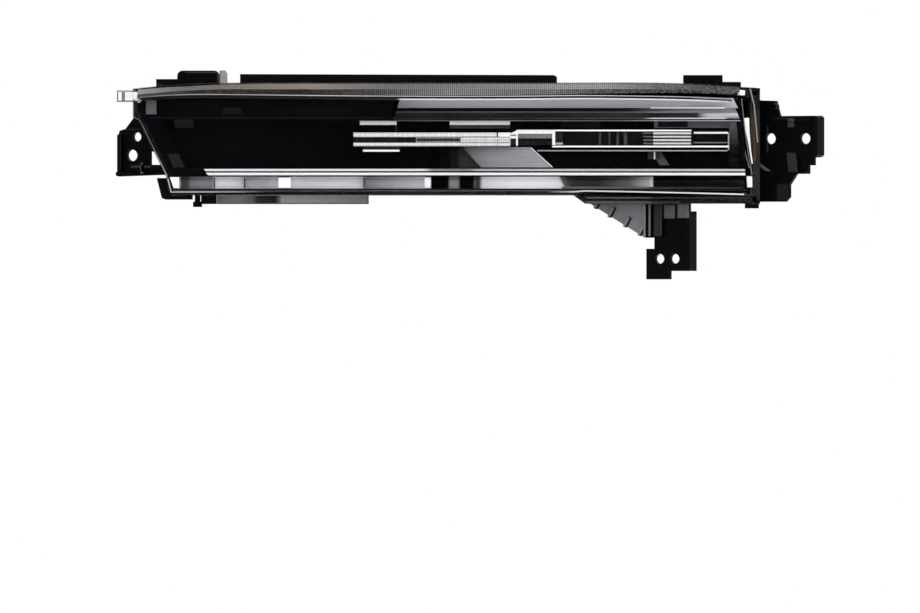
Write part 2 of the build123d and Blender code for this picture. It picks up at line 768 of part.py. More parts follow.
def make_vent():
    """Breather: knurled cap on a short stem pushed through the back wall."""
    cap = drill(vent_x, vent_z, vent_diameter, tub_back, tub_back + vent_height - 1.2)
    cap += drill(vent_x, vent_z, vent_diameter - 2.4, tub_back, tub_back + vent_height)
    return cap + drill(vent_x, vent_z, vent_diameter * 0.5, tub_floor - 1, tub_back + 0.5)


def make_top_strip():
    """Long strip on the ledge, with chamfered ends."""
    bottom = ledge_top()
    top = bottom + strip_height
    shape = Polygon((strip_left, bottom), (strip_right, bottom), (strip_right, top - 1.6),
                    (strip_right - 2, top - 0.6), (strip_left, top), align=None)
    return slab(shape, 2.4, 2.4 + strip_depth)


def screws(places, seat, towards_viewer=False, head_height=screw_head_height):
    """Like screws as one group of separate solids."""
    return group([screw(x, z, seat, towards_viewer, head_height) for x, z in places])


pieces = {
    "housing": make_housing(),
    "outer_lens": make_lens(),
    "lens_seal": make_seal(),
    "front_bezel": make_bezel(),
    "upper_reflector": make_upper_reflector(),
    "end_reflector": make_end_reflector(),
    "centre_trim": make_centre_trim(),
    "lower_reflector": make_lower_reflector(),
    "lower_light_guide": make_guide(),
    "centre_light_bar": make_light_bar(),
    "bar_collimator": make_collimator(),
    "bar_frame": make_frame(),
    "louvre_lens": make_louvre(),
    "bar_retainers": make_retainers(),
    "top_seal_strip": make_top_strip(),
    "main_circuit_board": make_main_board(),
    "main_leds": led_row(-bar_left + 6, frame_right - 8, main_led_pitch, pedestal_z),
    "guide_circuit_board": make_guide_board(),
    "guide_leds": led_row(-guide_left + 14, frame_right - 6, guide_led_pitch, guide_middle),
    "heat_sink": make_heat_sink(),
    "heat_sink_screws": screws(sink_screws, tub_back + sink_base),
    "bezel_screws": screws(bezel_screws, recess_back, True),
    "board_screws": screws(guide_posts, board_face, True, board_head_height),
    "driver_case": make_driver_case(),
    "driver_gasket": make_gasket(),
    "driver_screws": screws(driver_screws, tub_back + gasket_thickness + driver_wall),
    "connector_socket": make_socket(),
    "connector_pins": make_pins(),
    "vent_cap": make_vent(),
}

yaw = math.radians(bracket_yaw)
origin_x = leg_x + leg_middle_u * math.cos(yaw) + bracket_thickness * math.sin(yaw)
origin_y = leg_y - leg_middle_u * math.sin(yaw) + bracket_thickness * math.cos(yaw)

for name, solid in pieces.items():
    placed = Pos(-origin_x, -origin_y, leg_drop) * solid
    placed.label = name
    export_step(placed, f"parts/{name}.step")
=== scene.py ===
import bpy
import math
import bmesh
import numpy as np
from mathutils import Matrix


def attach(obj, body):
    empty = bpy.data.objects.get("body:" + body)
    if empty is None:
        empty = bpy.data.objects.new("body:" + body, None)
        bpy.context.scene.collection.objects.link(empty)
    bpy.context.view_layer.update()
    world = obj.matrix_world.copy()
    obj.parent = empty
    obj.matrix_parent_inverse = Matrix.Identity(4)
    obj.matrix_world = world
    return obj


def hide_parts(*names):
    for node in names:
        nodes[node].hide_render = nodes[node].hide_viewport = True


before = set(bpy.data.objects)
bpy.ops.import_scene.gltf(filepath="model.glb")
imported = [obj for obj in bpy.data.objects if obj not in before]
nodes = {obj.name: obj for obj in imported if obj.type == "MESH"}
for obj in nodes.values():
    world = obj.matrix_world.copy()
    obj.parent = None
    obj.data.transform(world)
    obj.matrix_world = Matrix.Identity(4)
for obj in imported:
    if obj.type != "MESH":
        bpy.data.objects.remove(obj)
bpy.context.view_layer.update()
bpy.context.scene.view_settings.view_transform = "Standard"

# Camera: a long lens square to the front of the lamp, as catalogue pictures of car lamps are taken, so that
# the top and bottom edges stay parallel. At this distance a pixel is 0.6 mm in the plane of the lens flange.
distance = 12.267
camera_data = bpy.data.cameras.new("camera")
camera_data.lens = 800
camera_data.sensor_width = 36
camera_data.clip_end = 100
camera = bpy.data.objects.new("camera", camera_data)
camera.location = (-0.12567, -0.010546 - distance, -0.02865)
camera.rotation_euler = (math.radians(90), 0, 0)
bpy.context.scene.collection.objects.link(camera)
bpy.context.scene.camera = camera


# Studio: white behind and above, and a black side towards the viewer, which is what a black moulding and a
# clear lens mirror. Plain light reaches every side, and large soft lamps give it a direction.
class Link:
    """A socket on its way through a material. Sums, products and comparisons of links and numbers add Math
    nodes; node() adds any other node from its type, its settings and the values or links of its sockets."""

    def __init__(self, tree, made=None, socket=0):
        self.tree, self.made = tree, made
        self.socket = made.outputs[socket] if made and len(made.outputs) else None

    def node(self, kind, settings=(), sockets=(), out=0):
        made = self.tree.nodes.new("ShaderNode" + kind)
        for name, value in dict(settings).items():
            setattr(made, name, value)
        for name, value in dict(sockets).items():
            if isinstance(value, Link):
                self.tree.links.new(value.socket, made.inputs[name])
            else:
                made.inputs[name].default_value = value
        return Link(self.tree, made, out)

    def out(self, socket):
        """Another output of the same node."""
        return Link(self.tree, self.made, socket)

    def math(self, operation, *values):
        return self.node("Math", {"operation": operation}, dict(enumerate(values)))

    def mix(self, mask, first, second):
        """Second colour where the mask is 1, first colour where it is 0."""
        first, second = [value if isinstance(value, Link) else (*value, 1) for value in (first, second)]
        return self.node("Mix", {"data_type": "RGBA"}, {0: mask, 6: first, 7: second}, 2)

    def __add__(self, other):
        return self.math("ADD", self, other)

    def __mul__(self, other):
        return self.math("MULTIPLY", self, other)

    def __sub__(self, other):
        return self.math("SUBTRACT", self, other)

    def __rsub__(self, other):
        return self.math("SUBTRACT", other, self)

    def __gt__(self, other):
        return self.math("GREATER_THAN", self, other)

    def __lt__(self, other):
        return self.math("LESS_THAN", self, other)

    __radd__ = __add__
    __rmul__ = __mul__


world = bpy.data.worlds.new("studio")
bpy.context.scene.world = world
world.use_nodes = True
world.node_tree.nodes.clear()
sky = Link(world.node_tree)
ray = sky.node("LightPath")
direction = sky.node("SeparateXYZ", (), {0: sky.node("TexCoord")})
towards_back = direction.out("Y") > 0.8
upwards = direction.out("Z").math("MAXIMUM", direction.out("Z"), 0.0)
reflected = 0.004 + towards_back * 0.9 + upwards * 0.45
seen_white = ray.math("MAXIMUM", ray.out("Is Camera Ray"), ray.out("Is Transmission Ray"))
glossy = ray.out("Is Glossy Ray")
plain_light = 0.7
level = seen_white + (1 - seen_white) * (glossy * reflected + (1 - glossy) * plain_light)
sky.node("OutputWorld", (), {0: sky.node("Background", (), {0: (1, 1, 1, 1), 1: level})})

for name, place, size, power, mirrored in (
        ("lamp_above", (-0.1, -0.5, 1.1), 1.4, 6.2, True),
        ("lamp_front", (-0.3, -2.6, 0.7), 1.6, 46.8, False),
        ("lamp_right", (1.3, -1.8, 0.5), 1.2, 10.9, False)):
    lamp = bpy.data.lights.new(name, "AREA")
    lamp.size = size
    lamp.energy = power
    holder = bpy.data.objects.new(name, lamp)
    holder.location = place
    away = np.array(place) - (-0.1, 0.0, 0.0)
    tilt, turn = math.acos(away[2] / np.linalg.norm(away)), math.atan2(away[1], away[0]) + math.pi / 2
    holder.rotation_euler = (tilt, 0, turn)
    holder.visible_camera = False
    holder.visible_glossy = mirrored
    bpy.context.scene.collection.objects.link(holder)


# Floor: a pale sheet under the lamp. It reads white to the camera and still takes a soft shadow.
def material(name):
    """Empty material: its tree to add nodes with."""
    made = bpy.data.materials.new(name)
    made.use_nodes = True
    made.node_tree.nodes.clear()
    return made, Link(made.node_tree)


def surface(link, shader, sockets):
    """Shader node with its constants and links, joined to the material's output."""
    link.node("OutputMaterial", (), {0: link.node(shader, (), sockets)})


# Middle of the lens flange, in millimetres from the origin of the frame.
lens_middle = (133.474, 10.546, -67.65)


def shape(name, points, faces, made, smooth=None):
    """Mesh from corners given in millimetres from the middle of the lens flange, and set down in the frame.
    Corners that coincide are merged and faces turned outwards; smooth is the angle under which edges blend."""
    mesh = bpy.data.meshes.new(name)
    mesh.from_pydata(((np.asarray(points, float) - lens_middle) / 1000).tolist(), [], faces)
    work = bmesh.new()
    work.from_mesh(mesh)
    bmesh.ops.remove_doubles(work, verts=work.verts, dist=1e-7)
    bmesh.ops.recalc_face_normals(work, faces=work.faces)
    work.to_mesh(mesh)
    work.free()
    if smooth:
        mesh.shade_smooth()
        mesh.set_sharp_from_angle(angle=math.radians(smooth))
    mesh.materials.append(made)
    piece = bpy.data.objects.new(name, mesh)
    bpy.context.scene.collection.objects.link(piece)
    return piece


paper, link = material("floor_paper")
matt = link.node("BsdfDiffuse", (), {0: (0.8, 0.8, 0.8, 1)})
glow = link.node("Emission", (), {0: (1, 1, 1, 1), 1: 1.0})
veil = link.node("BsdfTransparent")
front = 1 - link.node("NewGeometry").out("Backfacing")
glow_share = link.node("LightPath").out("Is Camera Ray") * 0.86
pale = link.node("MixShader", (), {0: glow_share, 1: matt, 2: glow})
surface(link, "MixShader", {0: front, 1: veil, 2: pale})
half, low = 3000, -365
floor = shape("floor", [(-half, -half, low), (half, -half, low), (half, half, low), (-half, half, low)],
              [(0, 1, 2, 3)], paper)


# Black mouldings: the housing and what is screwed to its back are filled polypropylene with a fine grain
# from the tool, which the light only catches along edges.
def grey(value, warm=0.0):
    """Colour from a grey between 0 and 255 as a screen shows it; warm above 0 turns it to brown, below to
    violet."""
    level = (value / 255.0)**2.2
    shift = warm if warm > 0 else warm * 0.45
    return (level * (1 + shift), level * (1 + min(shift, -shift * 0.1)), level * (1 - shift))


def across(link, axis):
    """Place along an axis in millimetres from the middle of the lens flange."""
    place = link.node("SeparateXYZ", (), {0: link.node("TexCoord", out="Object")})
    return place.out(axis) * 1000.0 + lens_middle["XYZ".index(axis)]


def steps(link, coordinate, low, high, stops):
    """Colour ramp along a coordinate between two places; stops are (place, grey, warmth)."""
    ramp = link.node("ValToRGB", (), {0: (coordinate - low) * (1.0 / (high - low))})
    elements = ramp.made.color_ramp.elements
    while len(elements) < len(stops):
        elements.new(0.5)
    for stop, (place, value, warm) in zip(elements, stops):
        stop.position = (place - low) / (high - low)
        stop.color = (*grey(value, warm), 1)
    return ramp


# Painted highlights lie in front of this depth, which keeps them off the back of the housing.
bracket_plane = 34.0


def moulded(name, colour, roughness, gloss, grain, grain_size, painted_highlights=()):
    """Moulded plastic: fine grain as bump, and colour and roughness that drift a little over the piece. Painted
    highlights are patches of the faces turned to the viewer, painted paler where they lie flatter to the light:
    (left, right, bottom, top, grey, lean), where lean is how far the sides shift to the right for each
    millimetre upwards."""
    made, link = material(name)
    place = link.node("TexCoord", out="Object")
    drift = link.node("TexNoise", (), {"Vector": place, "Scale": 22.0, "Detail": 3.0})
    pits = link.node("TexNoise", (), {"Vector": place, "Scale": grain_size, "Detail": 2.0})
    tone = link.mix(drift, tuple(c * 0.75 for c in colour), tuple(c * 1.3 for c in colour))
    if painted_highlights:
        x, y, z = [across(link, axis) for axis in "XYZ"]
        normal = link.node("SeparateXYZ", (), {0: link.node("NewGeometry", out="Normal")})
        towards = (normal.out("Y") < -0.5) * (y < bracket_plane)
        for left, right, bottom, top, value, lean in painted_highlights:
            beside = x - (z - bottom) * lean
            inside = (beside > left) * (beside < right) * (z > bottom) * (z < top) * towards
            # Painted highlight: inside the patch the tone turns to the zone's pale grey.
            tone = link.mix(inside * (0.8 + drift * 0.2), tone, grey(value, -0.08))
    bump = link.node("Bump", (), {"Strength": grain, "Distance": 0.0002, "Height": pits})
    surface(link, "BsdfPrincipled", {"Base Color": tone, "Roughness": roughness - 0.08 + drift * 0.16,
                                     "Specular IOR Level": gloss, "Normal": bump})
    return made


def finish(name, made):
    """The finish of a CAD piece."""
    nodes[name].data.materials.clear()
    nodes[name].data.materials.append(made)


housing_black = moulded("housing_black", (0.0016, 0.0016, 0.0024), 0.42, 0.12, 0.25, 2600)
# The housing's zones are painted highlights: thin pale lines along its edges, and the gusset of the leg and the
# pads of the brackets painted paler as faces that catch the light.
finish("housing", moulded("housing_painted_highlights", (0.0014, 0.0014, 0.002), 0.42, 0.08, 0.25, 2600, (
    (84.0, 119.6, -56, -34.9, 120, 0), (120.8, 122.9, -54, -34.9, 96, 0), (124.2, 129.2, -54, -34.9, 50, 0),
    (129.8, 136.8, -43.4, -35.4, 84, 0), (138.4, 145.2, -43.2, -35.0, 90, 0),
    (79.0, 132.0, -34.8, -33.2, 84, 0), (205.0, 210.4, -15.4, -4.0, 46, -0.1),
    (204.6, 208.4, 11.4, 16.8, 60, 0), (198.2, 205.0, -32.6, -22.8, 30, 0),
    (191.6, 194.4, -15.0, -10.4, 88, -1.3), (-157.0, -138.6, 43.9, 44.6, 52, 0),
    (-137.9, -136.9, 38.4, 45.0, 64, 0), (-184.0, -171.0, 36.6, 37.3, 40, 0),
    (-194.0, -184.0, 9.8, 10.5, 40, 0), (-196.4, -195.8, -14.0, 8.0, 36, 0),
    (-190.0, -178.0, -13.0, -11.6, 52, 0), (-184.0, -182.6, -16.4, -10.0, 90, 0),
    (-120.0, 60.0, 43.0, 43.5, 44, 0), (134.0, 152.0, 43.6, 44.2, 40, 0), (196.0, 208.0, 16.4, 17.0, 40, 0),
    (192.0, 193.0, -4.0, 12.0, 44, 0))))
finish("driver_case", housing_black)
finish("connector_socket", housing_black)
finish("vent_cap", housing_black)
finish("top_seal_strip", moulded("strip_rubber", (0.0022, 0.0022, 0.0026), 0.7, 0.08, 0.4, 1800))
finish("driver_gasket", moulded("gasket_rubber", (0.012, 0.012, 0.013), 0.85, 0.2, 0.4, 1500))


# Outer lens: one clear polycarbonate moulding. Its front is a shallow arch seen from above, its walls lean
# inwards towards the viewer, and its foot ends in a flange and a tongue that is glued into the housing.
lens_depth, lens_width, top_draft, right_draft = 44.0, 376.0, 8.2, 21.0


def lens_corners(depth):
    """Corners of the lens outline at a depth in front of the flange, clockwise from the upper left: each
    side moves in with depth by its own draft. The first six lie on the bowed top edge."""
    share = depth / lens_depth
    drop = top_draft * share
    left = 188.6 - share
    right_top = 187.8 - right_draft * share
    low_left = -29.8 + 1.8 * share
    low_right = -34.8 + 8.0 * share
    top = [(-left, 34.5 - drop * 0.86), (-left + 28, 37.02 - drop * 0.9), (-left + 61, 38.1 - drop * 0.97),
           (66, 38.1 - drop * 1.06), (142.8 - 10.5 * share, 37.69 - drop * 1.27),
           (right_top, 34.7 - drop * 1.2)]
    foot = [(187.8 - 10.5 * share, low_right), (82.8, low_right), (75.8, low_left), (-left + 22.4, low_left)]
    slant = [(-left + 20.0, -18.6), (-left + 3.8, 14.6), (-left, 17.0)]
    return np.array(top + foot + slant)


# Points on each side of the outline, from the upper left clockwise. The first five sides are the top edge.
spans = (30, 24, 60, 36, 24, 40, 60, 6, 100, 8, 30, 6, 12)
top_count, foot_start, foot_end = sum(spans[:5]), sum(spans[:6]), sum(spans[:9])


def round_the_lens(depth):
    """Points round the lens outline at a depth. Along the top edge the height is a cubic of x in each span,
    whose slope at a corner is the mean of the slopes of the chords beside it. The edge is level at its two
    middle corners and a little steeper than the chord at its ends; the other sides are straight."""
    corners = lens_corners(depth)
    chords = np.diff(corners[:6, 1]) / np.diff(corners[:6, 0])
    slopes = np.concatenate([chords[:1] * 1.3, (chords[1:] + chords[:-1]) / 2, chords[-1:] * 1.3])
    slopes[2:4] = 0.0
    points = []
    for index, count in enumerate(spans):
        along = np.linspace(0, 1, count, endpoint=False)[:, None]
        start, end = corners[index], corners[(index + 1) % len(corners)]
        side = start + (end - start) * along
        if index < 5:
            width = end[0] - start[0]
            side[:, 1] = ((2 * along**3 - 3 * along**2 + 1) * start[1]
                          + (along**3 - 2 * along**2 + along) * width * slopes[index]
                          + (3 * along**2 - 2 * along**3) * end[1]
                          + (along**3 - along**2) * width * slopes[index + 1])[:, 0]
        points.append(side)
    return np.vstack(points)


def inwards(points):
    """Unit way in from each point of a clockwise outline: to the right of the line between its neighbours."""
    along = np.roll(points, -1, 0) - np.roll(points, 1, 0)
    return np.column_stack([along[:, 1], -along[:, 0]]) / np.linalg.norm(along, axis=1)[:, None]


crown_x, crown_radius = -30.6, 1400.0


def arch(x):
    """Depth of the curved front at x: an arc of the crown's radius, furthest out at the crown."""
    return crown_radius - lens_depth - np.sqrt(crown_radius**2 - (x - crown_x)**2)


foot_outline = round_the_lens(0.0)
front_outline = round_the_lens(lens_depth)


def wall(depth):
    """Points of the drafted wall, each at its own depth in front of the flange."""
    return foot_outline + (front_outline - foot_outline) * (np.asarray(depth) / lens_depth)[..., None]


# How far forward the wall reaches at each point of the outline: each pass brings it closer to the arch.
reach = np.full(len(foot_outline), 40.0)
for turn in range(4):
    reach = -arch(wall(reach)[:, 0])


def grid_faces(rows, columns, closed=True):
    """Quads of a grid of rows by columns; closed joins the last column to the first."""
    row, column = np.meshgrid(np.arange(rows - 1), np.arange(columns if closed else columns - 1), indexing="ij")
    after = (column + 1) % columns
    return np.stack([row * columns + column, row * columns + after, (row + 1) * columns + after,
                     (row + 1) * columns + column], -1).reshape(-1, 4).tolist()


def at_depth(flat, depth):
    """Points in space from (x, z) pairs and their depth."""
    return np.column_stack([flat[:, 0], np.broadcast_to(depth, len(flat)), flat[:, 1]])


def clear(name, tint, haze, roughness=0.03, wall_shine=0.01, dark_right=False):
    """Clear plastic: light goes through tinted, and the outer surface mirrors more the flatter it is seen,
    fully where it faces the viewer and by the share wall_shine elsewhere. Haze is the share of milky white over
    it, 0 for none, and dark_right backs the right end of the flange with black."""
    made, link = material(name)
    place = link.node("TexCoord", out="Object")
    cloud = link.node("TexNoise", (), {"Vector": place, "Scale": 35.0, "Detail": 4.0})
    through = link.node("BsdfTransparent", (), {0: (*tint, 1)})
    milk = link.node("BsdfDiffuse", (), {0: (0.8, 0.8, 0.82, 1)})
    shine = link.node("BsdfGlossy", (), {"Color": (1, 1, 1, 1),
                                         "Roughness": cloud * roughness + roughness * 0.5})
    body = link.node("MixShader", (), {0: haze * 0.5 + cloud * haze, 1: through, 2: milk})
    outside = 1 - link.node("NewGeometry", out="Backfacing")
    normal = link.node("SeparateXYZ", (), {0: link.node("NewGeometry", out="Normal")})
    facing = link.math("ABSOLUTE", normal.out("Y"))
    edge = link.node("Fresnel", (), {"IOR": 1.5}) * outside * ((facing > 0.8) * (1 - wall_shine) + wall_shine)
    piece = link.node("MixShader", (), {0: edge, 1: body, 2: shine})
    if dark_right:
        x, z = across(link, "X"), across(link, "Z")
        black = link.mix((z < 21.6) * (z > -32.6), grey(4), grey(30))
        backing = link.node("BsdfPrincipled", (), {"Base Color": black, "Roughness": 0.3})
        piece = link.node("MixShader", (), {0: (x > 183.2) * 0.94, 1: piece, 2: backing})
    link.node("OutputMaterial", (), {0: piece})
    return made


# Rows of points up the wall, over the edge and across the front.
wall_rows, edge_rows, front_rows = 9, 7, 13


def shell_rows(gap, edge_round):
    """Rows of points from the foot of the wall to the middle of the front, gap inside the outer surface: up
    the wall, over a quarter circle of the edge radius, then across the arch to a line along the middle."""
    depth = reach - gap - edge_round
    rows = []
    for share in np.linspace(0, 1, wall_rows):
        flat = wall(depth * share) + inward * gap
        rows.append(at_depth(flat, -depth * share))
    shoulder = wall(depth) + inward * gap
    for turn in np.linspace(0, math.pi / 2, edge_rows)[1:]:
        flat = shoulder + inward * edge_round * (1 - math.cos(turn))
        behind = gap + edge_round * (1 - math.sin(turn))
        rows.append(at_depth(flat, arch(flat[:, 0]) + behind))
    spine = np.column_stack([np.clip(flat[:, 0], -150, 168), np.zeros(len(flat))])
    for share in np.linspace(0, 1, front_rows)[1:]:
        inner = flat + (spine - flat) * share
        rows.append(at_depth(inner, arch(inner[:, 0]) + gap))
    return rows


inward = inwards(wall(reach))
wall_thickness = 2.2
shell = np.array(shell_rows(0.0, 0.9) + shell_rows(wall_thickness, 0.4)[::-1])
lens_clear = clear("lens_clear", (0.985, 0.985, 0.99), 0.0)
lens_shell = shape("lens_shell", shell.reshape(-1, 3), grid_faces(*shell.shape[:2]), lens_clear, smooth=35)
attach(lens_shell, "root")
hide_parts("outer_lens")


def ring(name, rows, made):
    """Closed ring along the foot of the lens: each row is an inset from the outline and a depth, and together
    they are its cross-section, carried round the outline along the inward normals."""
    way = inwards(foot_outline)
    points = []
    for gap, y in rows + rows[:1]:
        points.append(at_depth(foot_outline + way * gap, y))
    points = np.array(points)
    piece = shape(name, points.reshape(-1, 3), grid_faces(*points.shape[:2]), made, smooth=40)
    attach(piece, "root")
    return piece


flange_clear = clear("flange_clear", (0.7, 0.7, 0.71), 0.01, 0.12, 0.3, dark_right=True)
ring("lens_flange", [(0.2, 0.0), (0.0, -0.3), (0.0, -2.1), (0.3, -2.4), (4.6, -2.4), (4.9, -2.1), (4.9, 0.0)],
     flange_clear)
ring("lens_tongue", [(2.7, 0.0), (2.7, 5.6), (3.0, 6.0), (4.6, 6.0), (4.9, 5.6), (4.9, 0.0)], flange_clear)


# Roof of the lens: the top wall is fluted on its inside across its whole width. The grey and tan it shows
# instead of the black housing is a glow painted into its colour, and its front half is painted darker.
flute_pitch = 1.2


def fluted(name):
    """Fluted clear plastic over black, its light painted into the colour: a painted glow by zone along the
    wall, painted shade on one half of each flute, darker rows, scattered painted sparks of light and black at
    its rear.
    """
    made, link = material(name)
    x, y = across(link, "X"), across(link, "Y")
    # Painted glow of the back and front halves of the roof, grey and tan stops along x.
    back_glow = steps(link, x, -190, 190, (
        (-186, 160, 0.02), (-160, 122, 0.1), (-120, 126, 0.14), (-84, 142, 0.14), (-30, 116, 0.02),
        (90, 158, 0.01), (125, 108, 0), (160, 76, 0)))
    front_glow = steps(link, x, -190, 190, ((-186, 84, 0.02), (-150, 50, 0.1), (-84, 34, 0.2), (-40, 80, 0.05),
                                            (0, 142, 0), (60, 124, 0), (90, 80, 0), (150, 50, 0), (180, 90, 0)))
    place = link.node("TexCoord", out="Object")
    spark_glints = link.node("TexNoise", (), {"Vector": place, "Scale": 700.0, "Detail": 2.0})
    wave = link.node("TexNoise", (), {"Vector": place, "Scale": 60.0, "Detail": 3.0})
    edge = (y + 21.0 + (wave - 0.5) * 6.0) < 0.0
    # Painted shade of the flutes: the other half of each pitch is darkened.
    flute_lit_half = link.math("FRACT", x * (1 / flute_pitch)) < 0.5
    rows = link.math("FRACT", y * (1 / 5.2) + wave * 0.3) < 0.3
    tone = link.mix(edge, back_glow, front_glow)
    tone = link.mix((1 - flute_lit_half) * (0.45 + edge * 0.3), tone, (0.004, 0.004, 0.004))
    tone = link.mix(rows * 0.4, tone, (0.004, 0.004, 0.004))
    # Painted sparks of light, more of them to the right of x 60.
    tone = link.mix((spark_glints > 0.6) * (0.2 + (x > 60.0) * 0.3), tone, (0.4, 0.39, 0.38))
    rear = y > link.math("ABSOLUTE", x + 155.0) * 0.12 - 7.0
    tone = link.mix(rear, tone, (0.003, 0.003, 0.003))
    surface(link, "BsdfPrincipled", {"Base Color": tone, "Roughness": 0.5, "Specular IOR Level": 0.0})
    return made


roof_left, roof_right, roof_start, roof_length = -185.4, 175.4, 1.0, 36.0
share_across = np.linspace(0, 1, int(lens_width / flute_pitch * 4))[None, :]
depths = np.linspace(roof_start, roof_start + roof_length, 14)[:, None]
right_edge = np.minimum(roof_right, 187.2 - right_draft * depths / lens_depth)
x = roof_left + (right_edge - roof_left) * share_across
front_limit = -arch(x) - 2.4
depth = roof_start + (front_limit - roof_start) * (depths - roof_start) / roof_length
top_edge = foot_outline[:top_count]
height = np.interp(x, top_edge[:, 0], top_edge[:, 1]) - top_draft * depth / lens_depth
flute = np.abs((share_across * lens_width / flute_pitch) % 1 - 0.5) * 0.6
roof = np.stack([x, -depth, height - 0.25 - flute], -1)
roof_flutes = shape("roof_flutes", roof.reshape(-1, 3), grid_faces(*roof.shape[:2], closed=False),
                    fluted("roof_painted_glow"))
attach(roof_flutes, "root")


# Black inner moulding: gloss black, and the deepest black of the lamp. Its pale zones are painted highlights:
# the light that its edges and flat steps pick up, and a painted gradient of light beside the trim.
finish("front_bezel", moulded("bezel_gloss_black", (0.002, 0.002, 0.0028), 0.12, 0.2, 0.02, 900, (
    (-180.2, -174.0, 18.8, 27.2, 92, 0), (-134.2, -123.0, 18.8, 22.8, 26, 0),
    (-163.8, -157.0, -13.0, -5.0, 34, -0.45), (-163.6, -151.8, 11.0, 15.4, 44, 0),
    (-178.0, -30.0, 16.4, 16.9, 30, 0), (-176.0, -14.0, 2.2, 2.8, 14, 0), (68.4, 92.0, 11.0, 15.2, 34, 0),
    (124.2, 171.6, 10.8, 14.9, 104, 0), (126.5, 144.4, 11.3, 14.6, 14, 0),
    (127.6, 133.4, -11.6, -3.4, 84, -0.64), (120.4, 128.0, -8.0, -3.4, 62, 0),
    (-12.0, 14.0, -13.0, -1.0, 12, 0), (-4.0, 14.0, -13.0, -1.0, 20, 0), (2.0, 14.0, -13.0, -1.0, 30, 0),
    (7.0, 24.0, -13.0, -1.0, 52, 0))))
# core_black is also the black of beads and plates put where only shade shows, such as lens_shadow_edge and
# frame_step_shade.
black_core = moulded("core_black", (0.003, 0.003, 0.004), 0.3, 0.2, 0.1, 1500)


# Small clear parts of the lens moulding: the locating loop at the left end, the snap tab in front of the
# tower and the flange under the left half, all in the plane of the lens flange.
def solid_faces(rows, count):
    """Faces of a solid made of rows of count corners: its sides and its two ends."""
    return grid_faces(rows, count) + [list(range(count)), list(range(count * (rows - 1), count * rows))]


def plate(name, outline, front, back, made, edge=0.4):
    """Solid seen from the front as an outline of (x, z) corners, with its front edge rolled over a quarter
    circle of the edge radius: each row of corners is moved in by the radius less its cosine and forward by its
    sine."""
    outline = np.array(outline, float)
    area = np.sum(outline[:, 0] * np.roll(outline[:, 1], -1) - np.roll(outline[:, 0], -1) * outline[:, 1])
    if area > 0:
        outline = outline[::-1]
    side = np.roll(outline, -1, 0) - outline
    way = np.column_stack([side[:, 1], -side[:, 0]]) / np.linalg.norm(side, axis=1)[:, None]
    before = np.roll(way, 1, 0)
    corner = (way + before) / (1 + np.sum(way * before, axis=1))[:, None]
    rows = []
    for gap, y in [(0, back)] + [(edge * (1 - math.cos(a)), front + edge * (1 - math.sin(a)))
                                 for a in np.linspace(0, math.pi / 2, 4)]:
        rows.append(at_depth(outline + corner * gap, y))
    piece = shape(name, np.vstack(rows), solid_faces(len(rows), len(outline)), made, smooth=40)
    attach(piece, "root")
    return piece


def panel(name, left, right, low, high, front, back, made, edge=0.4):
    """Plate with four square corners."""
    return plate(name, [(left, low), (right, low), (right, high), (left, high)], front, back, made, edge)


def silvered(name, low, high, stops, axis="X", roughness=0.22, metal=0.3, brushed=0.12, slant=None):
    """Vacuum-silvered plastic or bare metal, its tone set by place, with fine lines drawn along it. For the
    reflectors, the trim and the lines of the lens the stops are painted reflections and painted shade; for the
    heat sink, screws and pins they are one plain grey. Slant is the stretch of x in which the borders of the
    facets lean, half a millimetre for each one of height."""
    made, link = material(name)
    place = link.node("TexCoord", out="Object")
    along = across(link, axis)
    if slant:
        along = along + (across(link, "Z") + 22.2) * 0.5 * (along > slant[0]) * (along < slant[1])
    tone = steps(link, along, low, high, stops)
    stretched = link.node("Mapping", (), {"Vector": place, "Scale": (30.0, 400.0, 1300.0)})
    lines = link.node("TexNoise", (), {"Vector": stretched, "Scale": 1.0, "Detail": 3.0})
    tone = link.mix((lines - 0.5) * brushed * 4.0 + brushed, tone, (0.02, 0.02, 0.024))
    surface(link, "BsdfPrincipled", {"Base Color": tone, "Metallic": metal,
                                     "Roughness": roughness + lines * 0.1, "Specular IOR Level": 0.12})
    return made


rim_clear = clear("rim_clear", (0.52, 0.51, 0.5), 0.1, 0.2, 0.4)
dark_clear = clear("dark_clear", (0.3, 0.29, 0.29), 0.1, 0.25, 0.4)
pane_clear = clear("pane_clear", (0.97, 0.97, 0.97), 0.01, 0.1, 0.4)
loop_left, loop_right, loop_low, loop_high = -198.0, -186.4, 26.4, 33.4
panel("loop_top_bar", loop_left, loop_right, loop_high - 1.0, loop_high, -3.8, 0, rim_clear, 0.3)
panel("loop_low_bar", loop_left, loop_right, loop_low, loop_low + 0.9, -3.8, 0, dark_clear, 0.3)
panel("loop_left_bar", loop_left, loop_left + 0.8, loop_low + 0.9, loop_high - 1.0, -3.8, 0, dark_clear, 0.2)
panel("loop_middle_bar", -195.2, -193.2, loop_low + 0.9, loop_high - 1.0, -3.8, 0, dark_clear, 0.3)
panel("loop_pane", -192.8, -186.4, loop_low + 0.9, loop_high - 1.0, -1.6, 0, pane_clear, 0.2)
snap_clear = clear("snap_clear", (0.42, 0.41, 0.4), 0.12, 0.2, 0.3)
plate("snap_tab", [(-136.3, 35.6), (-131.7, 35.6), (-131.7, 43.4), (-133.0, 45.4), (-136.3, 45.4)], -2.4, 0,
      snap_clear, 0.5)
panel("snap_edge", -136.5, -135.9, 36.4, 45.0, -2.7, -0.2, dark_clear, 0.1)
